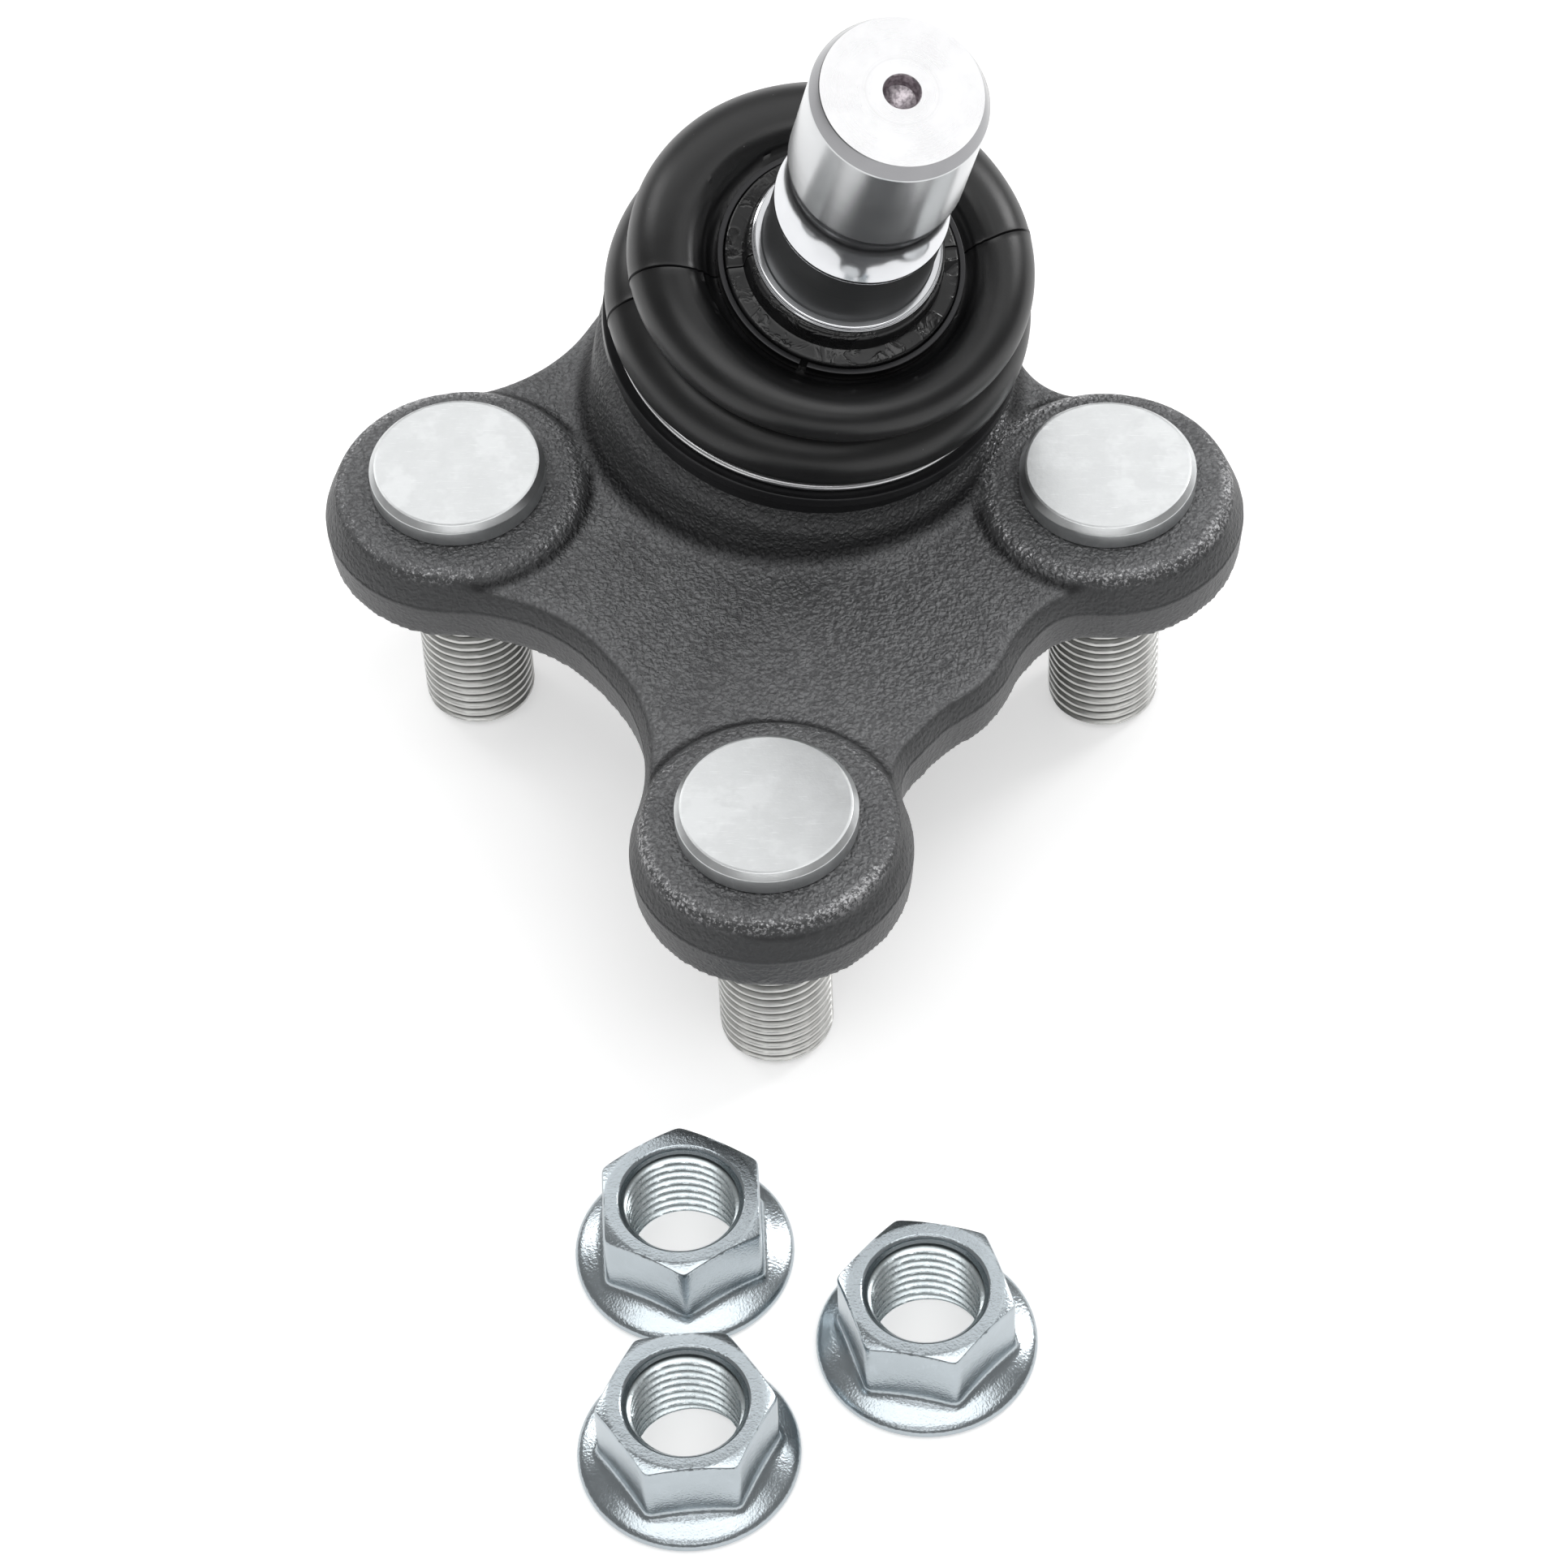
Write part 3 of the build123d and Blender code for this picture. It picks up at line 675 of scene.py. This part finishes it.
def forging():
    """The housing's forging with its edges and corners rounded as dies leave them, its machined faces kept."""
    mesh, points = even_mesh("housing", 0.5)
    points = drawn_in(mesh, points, 2, np.full(len(points), 0.5))
    radius, height = in_socket_frame(points)
    raw = np.full(len(points), 0.5)
    raw[np.abs(points[:, 2] - PARTING_PLANE) < 0.7] = 0.2
    raw[points[:, 2] < MOUNTING_FACE + 0.35] = 0.0
    raw[(radius < NOSE_RADIUS) | (height > 4.2)] = 0.0
    for x, y in BOLT_PLACES.values():
        raw[np.hypot(points[:, 0] - x, points[:, 1] - y) < 7.2] = 0.0
    points = drawn_in(mesh, points, 4, raw)

    # What the collar covers is drawn in and down, so that it stays under it
    axis = np.array(SOCKET_AXIS)
    radius, height = in_socket_frame(points)
    covered = UNDER_COLLAR * np.clip((height - 4.3) / 0.4, 0, 1) * (radius > NOSE_RADIUS)
    inwards = axis * height[:, None] - points
    inwards /= np.linalg.norm(inwards, axis=1)[:, None]
    points = points + inwards * covered[:, None] - axis * (covered * (height > 8.0))[:, None]
    mesh.vertices.foreach_set("co", (points * MM).ravel())
    mesh.materials.clear()
    mesh.materials.append(FORGING)
    shaded(mesh)
    mesh.update()
    piece = in_scene("forging", mesh)
    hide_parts("housing")
    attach(piece, "housing")


def collar():
    """The turned neck, collar, ledge and nose that carry the boot."""
    profile = softened([
        (21.0, 4.0), (21.42, 4.6, 0.1), (21.42, 6.4, 0.25), (22.32, 7.3, 0.2), (22.32, 8.52, 0.18),
        (19.33, 8.52, 0.15), (19.33, 10.1, 0.1), (18.43, 11.02, 0.1), (15.0, 11.02, 0.1), (14.85, 10.7),
        (21.0, 4.0),
    ], 0.1)
    piece = lathe("collar", profile, standing(SOCKET_AXIS), COLLAR, segments=240)
    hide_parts("housing")
    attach(piece, "housing")


forging()
collar()


# Threads

def thread_tree():
    """Geometry nodes for a screw thread about +Z: a sheet rolled to a tube whose radius follows the helix."""
    tree = bpy.data.node_groups.new("screw_thread", "GeometryNodeTree")
    face = tree.interface
    face.new_socket("Geometry", in_out="INPUT", socket_type="NodeSocketGeometry")
    for label in ("Crest radius", "Root radius", "Pitch", "Length", "Point", "Run-out"):
        face.new_socket(label, in_out="INPUT", socket_type="NodeSocketFloat")
    for label in ("Steps round", "Steps along"):
        face.new_socket(label, in_out="INPUT", socket_type="NodeSocketInt")
    face.new_socket("Finish", in_out="INPUT", socket_type="NodeSocketMaterial")
    face.new_socket("Geometry", in_out="OUTPUT", socket_type="NodeSocketGeometry")
    nodes, links = tree.nodes, tree.links
    given = nodes.new("NodeGroupInput")
    out = nodes.new("NodeGroupOutput")

    def maths(operation, *values):
        made = nodes.new("ShaderNodeMath")
        made.operation = operation
        for index, value in enumerate(values):
            if isinstance(value, (int, float)):
                made.inputs[index].default_value = value
            else:
                links.new(value, made.inputs[index])
        return made.outputs[0]

    sheet = nodes.new("GeometryNodeMeshGrid")
    sheet.inputs["Size X"].default_value = 1.0
    sheet.inputs["Size Y"].default_value = 1.0
    links.new(given.outputs["Steps round"], sheet.inputs["Vertices X"])
    links.new(given.outputs["Steps along"], sheet.inputs["Vertices Y"])
    where = nodes.new("ShaderNodeSeparateXYZ")
    links.new(nodes.new("GeometryNodeInputPosition").outputs[0], where.inputs[0])
    share_round = maths("ADD", where.outputs[0], 0.5)
    down = maths("MULTIPLY", maths("ADD", where.outputs[1], 0.5), given.outputs["Length"])
    turns = maths("SUBTRACT", maths("DIVIDE", down, given.outputs["Pitch"]), share_round)
    # The saw's fraction runs once a turn; 50 more turns keep it above 0
    saw = maths("FRACT", maths("ADD", turns, 50.0))
    peak = maths("ABSOLUTE", maths("SUBTRACT", maths("MULTIPLY", saw, 2.0), 1.0))
    flank = maths("MINIMUM", maths("MAXIMUM", maths("SUBTRACT", maths("MULTIPLY", peak, 1.7), 0.55), 0.0), 1.0)
    fade = maths("MINIMUM", maths("DIVIDE", down, given.outputs["Run-out"]), 1.0)
    depth = maths("MULTIPLY", maths("SUBTRACT", given.outputs["Crest radius"], given.outputs["Root radius"]),
                  maths("MULTIPLY", flank, fade))
    radius = maths("SUBTRACT", given.outputs["Crest radius"], depth)
    left = maths("SUBTRACT", given.outputs["Length"], down)
    point = maths("ADD", maths("SUBTRACT", given.outputs["Crest radius"], given.outputs["Point"]), left)
    radius = maths("MINIMUM", radius, point)
    turn = maths("MULTIPLY", share_round, -2 * math.pi)
    spot = nodes.new("ShaderNodeCombineXYZ")
    links.new(maths("MULTIPLY", radius, maths("COSINE", turn)), spot.inputs[0])
    links.new(maths("MULTIPLY", radius, maths("SINE", turn)), spot.inputs[1])
    links.new(maths("MULTIPLY", down, -1.0), spot.inputs[2])
    roll = nodes.new("GeometryNodeSetPosition")
    links.new(sheet.outputs["Mesh"], roll.inputs["Geometry"])
    links.new(spot.outputs[0], roll.inputs["Position"])
    seam = nodes.new("GeometryNodeMergeByDistance")
    seam.inputs["Distance"].default_value = 1e-4
    links.new(roll.outputs[0], seam.inputs["Geometry"])
    finish = nodes.new("GeometryNodeSetMaterial")
    links.new(seam.outputs[0], finish.inputs["Geometry"])
    links.new(given.outputs["Finish"], finish.inputs["Material"])
    links.new(finish.outputs[0], out.inputs[0])
    return tree


THREAD_TREE = thread_tree()


def screw_thread(name, place, **inputs):
    """A plain mesh object of one thread; inputs are named by the tree's own labels with _ for spaces."""
    holder = in_scene(name, bpy.data.meshes.new(name))
    modifier = holder.modifiers.new("thread", "NODES")
    modifier.node_group = THREAD_TREE
    for socket in THREAD_TREE.interface.items_tree:
        key = socket.name.replace(" ", "_").replace("-", "_").lower()
        if socket.in_out == "INPUT" and key in inputs:
            modifier[socket.identifier] = inputs[key]
    bpy.context.view_layer.update()
    graph = bpy.context.evaluated_depsgraph_get()
    mesh = bpy.data.meshes.new_from_object(holder.evaluated_get(graph))
    bpy.data.objects.remove(holder)
    mesh.transform(in_metres(place) @ Matrix.Scale(MM, 4))
    shaded(mesh, 50)
    return in_scene(name, mesh)


# Bolts and nuts

def bolt(side):
    """Round-headed press-in bolt."""
    x, y = BOLT_PLACES[side]
    place = Matrix.Translation((x, y, BOSS_TOP))
    start = MOUNTING_FACE - BOSS_TOP
    foot = FLOOR_LEVEL - BOSS_TOP
    head = lathe("bolt_head_" + side, softened([
        (6.0, start - 0.02), (6.4, start), (6.4, 0.0, 0.0), (9.03, 0.0, 0.1), (9.38, 0.35, 0.3),
        (9.38, 2.25, 0.25), (8.80, 2.88, 0.12), (8.55, 2.93, 0.3), (0, 2.93),
    ], 0.1), place, BOLT_ZINC)
    thread = screw_thread(
        "bolt_thread_" + side, place @ Matrix.Translation((0, 0, start)), crest_radius=BOLT_CREST,
        root_radius=BOLT_ROOT, pitch=THREAD_PITCH, length=start - foot, point=1.0, run_out=1.5,
        steps_round=73, steps_along=330, finish=THREAD_ZINC)
    tip = lathe("bolt_tip_" + side, [(0, foot), (5.0, foot)], place, THREAD_ZINC)
    whole = joined("bolt_" + side + "_dressed", [head, thread, tip])
    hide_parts("bolt_" + side)
    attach(whole, "housing")


for side in BOLT_PLACES:
    bolt(side)


NUT_FLAT = 8.0
NUT_TOP = 10.4
NUT_RIM = 11.25
NUT_SLOPE = math.tan(math.radians(24))
NUT_SEGMENTS = 180


def nut_section(turn):
    """The nut's outside at one turn as (radius, height), from the bore's bottom edge round to its top edge."""
    # The high power stands for the nearest of the six flats, and rounds the corners between them a little
    sides = [math.cos(turn - math.pi / 6 - number * math.pi / 3) / NUT_FLAT for number in range(6)]
    side = sum(max(0.0, share) ** 44 for share in sides) ** (-1 / 44)

    def cone(radius):
        """Height of the flange's cone."""
        return 1.2 + (NUT_RIM - radius) * NUT_SLOPE

    def crown(radius):
        """Height of the chamfer at the top."""
        return NUT_TOP - max(0.0, radius - 7.85) * NUT_SLOPE

    return [
        (6.6, 0.0), (10.6, 0.0), (11.05, 0.12), (NUT_RIM, 0.45), (NUT_RIM, 0.85), (11.15, 1.08),
        (10.9, cone(10.9) - 0.03), (10.5, cone(10.5)), ((10.5 + side) / 2, cone((10.5 + side) / 2)),
        (side + 0.50, cone(side + 0.50)), (side + 0.18, cone(side) + 0.10), (side + 0.04, cone(side) + 0.32),
        (side, cone(side) + 0.65), (side, crown(side) - 0.30), (side - 0.04, crown(side) - 0.10),
        (side - 0.18, crown(side - 0.18)), (min(7.9, side - 0.24), crown(7.9)),
        (7.6, NUT_TOP), (6.55, NUT_TOP), (6.4, NUT_TOP - 0.08), (5.9, NUT_TOP - 0.7),
    ]


def nut(side):
    """Hexagon flange nut with its thread."""
    x, y, degrees = NUT_PLACES[side]
    place = Matrix.Translation((x, y, FLOOR_LEVEL)) @ Matrix.Rotation(math.radians(degrees), 4, "Z")
    turns = [2 * math.pi * step / NUT_SEGMENTS for step in range(NUT_SEGMENTS)]
    rings = list(zip(*[nut_section(turn) for turn in turns]))
    points = [
        (radius * math.cos(turn), radius * math.sin(turn), height)
        for ring in rings for turn, (radius, height) in zip(turns, ring)]
    shell = mesh_piece(
        "nut_shell_" + side, points, band_faces(len(rings), NUT_SEGMENTS),
        place @ Matrix.Rotation(math.radians(30), 4, "Z"), [NUT_ZINC], sharp=28)
    depth = NUT_TOP - 0.7
    thread = screw_thread(
        "nut_thread_" + side, place @ Matrix.Translation((0, 0, depth)), crest_radius=NUT_ROOT,
        root_radius=NUT_CREST, pitch=THREAD_PITCH, length=depth, point=0.0, run_out=0.8,
        steps_round=73, steps_along=130, finish=NUT_THREAD_ZINC_LIT)
    thread.data.flip_normals()
    whole = joined("nut_" + side + "_dressed", [shell, thread])
    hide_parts("nut_" + side)
    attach(whole, "housing")


for side in NUT_PLACES:
    nut(side)


# Ball stud

def groove_points(start, width, radius, depth, steps):
    """A shallow round groove in a shank."""
    half = width / 2
    bend = (half**2 + depth**2) / (2 * depth)
    points = []
    for step in range(steps + 1):
        across = -half + width * step / steps
        points.append((radius - depth + bend - math.sqrt(bend**2 - across**2), start + half + across))
    return points


def ball_points(start, end, steps=40):
    """The ball's outline between two latitudes in degrees."""
    turns = [math.radians(start + (end - start) * step / steps) for step in range(steps + 1)]
    return [(BALL_RADIUS * math.cos(turn), BALL_RADIUS * math.sin(turn)) for turn in turns]


def ball_stud():
    """The turned pin and its ball, each stretch with its own finish."""
    ball = ball_points(-71.8, 59.2)
    groove = groove_points(39.1, 8.7, 9.0, 0.9, 24)[1:-1]
    stretches = [
        (STUD_SATIN, [(0, ball[0][1]), ball[0]]),
        (STUD_BRIGHT, ball),
        (STUD_SATIN, softened([ball[-1], (7.0, 12.7), (7.0, 17.5, 0.5), (8.2, 21.5, 0.5), (8.2, 29.2)], 0.3)),
        (STUD_BRIGHT, softened([
            (8.2, 29.2), (9.9, 29.2, 0.2), (9.9, 29.6, 0.1), (9.75, 29.7, 0.1), (9.75, 30.1, 0.2), (9.05, 30.1),
        ], 0.1)),
        (STUD_SATIN, softened([(9.05, 30.1), (8.93, 30.35), (8.93, 38.5), (9.0, 38.65)], 0.05)),
        (STUD_BRIGHT, softened([(9.0, 38.65), (9.0, 39.1, 0.1)] + groove + [(9.0, 47.8, 0.1), (9.0, 48.1)], 0.05)),
        (STUD_SHANK, softened([(9.0, 48.1), (9.0, 61.1, 0.12), (8.95, 61.3)], 0.05)),
        (STUD_CHAMFER_SHADED, softened([(8.95, 61.3), (8.22, 62.68, 0.08), (8.14, 62.8)], 0.05)),
        (STUD_FACE_LIT, [(8.14, 62.8), (5.0, 62.8), (1.95, 62.8)]),
        (CENTRE_HOLE, softened([(1.95, 62.8), (1.85, 62.7, 0.05), (1.70, 60.95), (0, 59.8)], 0.05)),
    ]
    points, faces, marks = [], [], []
    materials = list(dict.fromkeys(material for material, _ in stretches))
    for material, profile in stretches:
        more, more_faces = lathe_mesh(profile, 192)
        shift = len(points)
        points += more
        faces += [[corner + shift for corner in face] for face in more_faces]
        marks += [materials.index(material)] * len(more_faces)
    stud = mesh_piece("ball_stud_dressed", points, faces, standing(STUD_AXIS), materials, marks)
    sewn(stud.data, 2e-6)
    shaded(stud.data, 35)
    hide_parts("ball_stud")
    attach(stud, "stud")


ball_stud()


# Dust boot

LOWER_FOLD = (18.15, 13.2)
UPPER_FOLD = (16.9, 22.0)
FOLD_TUBE = 4.4
BOOT_WALL = 1.4
NECK_OUTLINE = [
    (13.15, 24.4), (12.3, 24.4), (12.22, 24.5), (12.2, 26.15), (12.12, 26.32), (11.9, 26.4), (10.75, 26.4),
    (10.48, 26.5), (10.4, 26.75), (10.4, 28.25), (10.3, 28.7), (10.0, 29.0), (9.6, 29.08), (8.32, 29.1),
]
MOULD_SEAMS = (105.0, 284.0)
SEAM_COLUMNS = (-1.6, -0.9, -0.45, 0.0, 0.45, 0.9, 1.6)


def fold_arc(centre, tube, start, end, steps, way_start, way_end):
    """Points of one fold as (radius, height, way along the boot from its lip, 0, to its neck, 1)."""
    points = []
    for step in range(steps + 1):
        part = step / steps
        turn = math.radians(start + (end - start) * part)
        way = way_start + (way_end - way_start) * part
        points.append((centre[0] + tube * math.cos(turn), centre[1] + tube * math.sin(turn), way))
    return points


def boot_turns():
    """Where the boot's columns stand, closer together at the mould seams."""
    turns = [step * 360 / 200 for step in range(200)]
    turns = [turn for turn in turns if all(abs(turn - seam) > 2.3 for seam in MOULD_SEAMS)]
    turns += [seam + column for seam in MOULD_SEAMS for column in SEAM_COLUMNS]
    return sorted(turns)


def seam_relief(turn):
    """The mould seam: a thin split with a little flash on both sides."""
    off = min(abs(turn - seam) for seam in MOULD_SEAMS)
    if off > 1.2:
        return 0.0
    return -0.22 if off < 0.2 else 0.05 if off < 0.6 else 0.03


def limited(value):
    """A value held between 0 and 1."""
    return max(0.0, min(1.0, value))


def slope_relief(radius, height, turn):
    """Round creases in the upper fold's inner slope, and a slight unevenness all over."""
    slope = limited((height - 23.6) / 1.2) * limited((16.6 - radius) / 1.0) * limited((radius - 13.2) / 0.5)
    angle = math.radians(turn)
    across, along = math.cos(angle), math.sin(angle)
    drift = noise.noise(Vector((1.6 * across, 1.6 * along, 4.0)))
    patchy = 0.4 + 0.6 * noise.noise(Vector((2 * across, 2 * along, radius)))
    crease = math.sin((radius + 0.8 * drift) * 8.5) * patchy
    swell = noise.noise(Vector((2.2 * across, 2.2 * along, height * 0.12)))
    return 0.16 * slope * crease + 0.07 * swell


def swung(loop, outer_count, turns):
    """Points of rings about an axis that swings from the socket's to the stud's; relief on the outer skin only."""
    points = []
    for index, (radius, height, way) in enumerate(loop):
        axis = (SOCKET_AXIS * (1 - way**2) + STUD_AXIS * way**2).normalized()
        place = standing(axis)
        ahead, behind = loop[min(index + 1, outer_count - 1)], loop[max(index - 1, 0)]
        outwards = Vector((ahead[1] - behind[1], behind[0] - ahead[0])).normalized()
        skin = 1.0 if 0 < index < outer_count - 1 else 0.0
        for turn in turns:
            relief = (seam_relief(turn) + slope_relief(radius, height, turn)) * skin
            reach, rise = radius + outwards.x * relief, height + outwards.y * relief
            angle = math.radians(turn)
            points.append(place @ Vector((reach * math.cos(angle), reach * math.sin(angle), rise)))
    return points


def boot_half(name, outer, inner):
    """One fold of the boot as a closed shell."""
    loop = outer + inner[::-1] + outer[:1]
    turns = boot_turns()
    points = swung(loop, len(outer), turns)
    half = mesh_piece(name, points, band_faces(len(loop), len(turns)), Matrix(), [RUBBER])
    sewn(half.data, 1e-6, outwards=True)
    shaded(half.data, 48)
    return half


def dust_boot():
    """Lower and upper fold, parted at the crease between them."""
    crease = (17.0, 17.6, 0.4375)
    crease_in = (16.1, 17.6, 0.4375)
    inner_tube = FOLD_TUBE - BOOT_WALL
    lower_out = [(20.2, 8.62, 0.0), (20.35, 8.75, 0.0), (20.36, 9.2, 0.0)]
    lower_out += fold_arc(LOWER_FOLD, FOLD_TUBE, -59, 50, 26, 0.03, 0.375)
    lower_out += fold_arc(LOWER_FOLD, FOLD_TUBE, 54, 76, 5, 0.385, 0.425) + [crease]
    lower_in = [(19.42, 8.62, 0.0), (19.42, 9.2, 0.0), (19.42, 10.3, 0.0)]
    lower_in += fold_arc(LOWER_FOLD, inner_tube, -60, 50, 18, 0.03, 0.375) + [(18.9, 16.2, 0.41), crease_in]
    lower = boot_half("boot_lower_fold", lower_out, lower_in)
    upper_out = [crease] + fold_arc(UPPER_FOLD, FOLD_TUBE, -76, -54, 5, 0.45, 0.49)
    upper_out += fold_arc(UPPER_FOLD, FOLD_TUBE, -50, 100, 40, 0.5, 0.9375)
    upper_out += [
        (15.7, 26.2, 0.945), (15.3, 25.98, 0.95), (14.95, 25.72, 0.955), (14.6, 25.45, 0.96),
        (14.3, 25.18, 0.965), (14.05, 24.95, 0.97), (13.8, 24.72, 0.98), (13.5, 24.5, 0.99)]
    upper_out += [(radius, height, 1.0) for radius, height in NECK_OUTLINE]
    upper_in = [crease_in, (17.9, 19.3, 0.47)] + fold_arc(UPPER_FOLD, inner_tube, -50, 100, 24, 0.5, 0.9375)
    upper_in += [(15.4, 24.6, 0.95), (14.6, 23.9, 0.965), (14.1, 23.2, 0.98), (13.6, 23.0, 1.0), (8.32, 23.0, 1.0)]
    upper = boot_half("boot_upper_fold", upper_out, upper_in)
    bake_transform(lower)
    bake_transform(upper)
    for fold in (lower, upper):
        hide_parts("dust_boot")


dust_boot()


# Rings that hold the boot

def wire_ring():
    """Round wire on the cup's ledge."""
    turns = [2 * math.pi * step / 16 for step in range(16)]
    profile = [(20.95 + 0.5 * math.cos(turn), 9.1 + 0.5 * math.sin(turn)) for turn in turns]
    ring = lathe("base_ring_dressed", profile + profile[:1], standing(SOCKET_AXIS), BASE_RING_STEEL, segments=240)
    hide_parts("boot_base_ring")
    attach(ring, "housing")


def neck_ring():
    """Flat split ring about the boot's neck."""
    half_gap = 0.032
    segments = 220
    corners = softened([
        (12.3, 25.3), (12.3, 26.0, 0.12), (12.95, 26.0, 0.12), (12.95, 24.6, 0.12), (12.3, 24.6, 0.12),
        (12.3, 25.3),
    ], 0.12, 3)[:-1]
    count = len(corners)
    points = []
    for step in range(segments + 1):
        turn = half_gap + (2 * math.pi - 2 * half_gap) * step / segments
        points += [(radius * math.cos(turn), radius * math.sin(turn), height) for radius, height in corners]
    ends = [tuple(range(count))[::-1], tuple(segments * count + index for index in range(count))]
    faces = band_faces(segments + 1, count) + ends
    place = standing(STUD_AXIS, (-0.25, -1, 0))
    ring = mesh_piece("neck_ring_dressed", points, faces, place, [NECK_RING_STEEL], sharp=40)
    sewn(ring.data, outwards=True)
    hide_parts("boot_neck_ring")
    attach(ring, "boot_neck")


wire_ring()
neck_ring()


# Pieces inside the cup, which keep their CAD shapes

for node, material, slot in (
        ("upper_bearing", PLASTIC, "bearing_plastic"), ("lower_bearing", PLASTIC, "bearing_plastic"),
        ("preload_spring", SPRING_STEEL, "spring_steel"), ("end_cap", CAP_STEEL, "cap_steel")):
    inside = frame["nodes"][node]
    inside.data.materials.clear()
    inside.data.materials.append(material)


# Floor, lights and camera

def floor():
    """White floor that keeps the object's shadow."""
    mesh = bpy.data.meshes.new("floor")
    reach, level = 6.0, (FLOOR_LEVEL - 0.02) * MM
    corners = [(-reach, -reach, level), (reach, -reach, level), (reach, reach, level), (-reach, reach, level)]
    mesh.from_pydata(corners, [], [(0, 1, 2, 3)])
    paint = Paint("floor_white")
    light = paint.tree.nodes.new("ShaderNodeLightPath")
    seen = paint.most(Wire(paint, light.outputs["Is Camera Ray"]), Wire(paint, light.outputs["Is Glossy Ray"]))
    seen = paint.most(seen, Wire(paint, light.outputs["Is Transmission Ray"]))
    matte = paint.node("ShaderNodeBsdfDiffuse", None, {"Color": (0.80, 0.80, 0.80)})
    glow = paint.node("ShaderNodeEmission", None, {"Color": (1.0, 1.0, 1.0), "Strength": 0.45 * seen})
    both = paint.node("ShaderNodeAddShader", None, {0: matte, 1: glow})
    out = paint.tree.nodes.new("ShaderNodeOutputMaterial")
    paint.tree.links.new(both.socket, out.inputs["Surface"])
    mesh.materials.append(paint.holder)
    in_scene("floor", mesh)


def soft_light(name, place, size, power):
    """A soft box that shines at the object's middle."""
    data = bpy.data.lights.new(name, "AREA")
    data.shape = "RECTANGLE"
    data.size, data.size_y = size
    data.energy = power
    lamp = in_scene(name, data)
    lamp.location = place
    lamp.rotation_euler = (Vector((0, -0.04, 0)) - Vector(place)).to_track_quat("-Z", "Y").to_euler()


def world():
    """Plain pale surroundings."""
    scene = bpy.context.scene
    scene.world = scene.world or bpy.data.worlds.new("surroundings")
    paint = Paint("surroundings", scene.world)
    back = paint.node("ShaderNodeBackground", None, {"Color": (1.0, 1.0, 1.0), "Strength": 0.27})
    out = paint.tree.nodes.new("ShaderNodeOutputWorld")
    paint.tree.links.new(back.socket, out.inputs["Surface"])


def camera():
    """The photograph's view, found from its bolt heads and ring edges."""
    azimuth, elevation, roll, distance = 0.0658, 0.9083, -0.0467, 0.57167
    aim = Vector((-0.000628, -0.053784, -0.0036))
    focal_pixels, photo_pixels, sensor = 6922.5, 1932, 36.0
    level = math.cos(elevation)
    back = Vector((math.sin(azimuth) * level, -math.cos(azimuth) * level, math.sin(elevation)))
    side = (-back).cross(Vector((0, 0, 1))).normalized()
    rise = side.cross(-back)
    right = side * math.cos(roll) + rise * math.sin(roll)
    up = rise * math.cos(roll) - side * math.sin(roll)
    data = bpy.data.cameras.new("photo_view")
    data.sensor_width = sensor
    data.lens = focal_pixels / photo_pixels * sensor
    data.clip_start = 0.01
    data.clip_end = 50
    eye = in_scene("photo_view", data)
    eye.matrix_world = Matrix.Translation(aim + back * distance) @ Matrix((right, up, back)).transposed().to_4x4()
    bpy.context.scene.camera = eye


floor()
world()
soft_light("back_box", (0.0, 0.95, 1.05), (1.6, 1.0), 5.2)
soft_light("tip_box", (0.40, 0.13, 1.25), (0.7, 0.7), 1.15)
soft_light("front_box", (0.0, -0.38, 1.10), (1.5, 0.66), 6.4)
soft_light("front_strip", (0.0, -0.95, 0.75), (0.9, 0.22), 1.1)
soft_light("left_strip", (-0.80, 0.70, 0.62), (0.30, 0.50), 2.0)
soft_light("right_strip", (0.85, 0.65, 0.60), (0.30, 0.50), 4.2)
camera()
bpy.context.scene.view_settings.view_transform = "Standard"
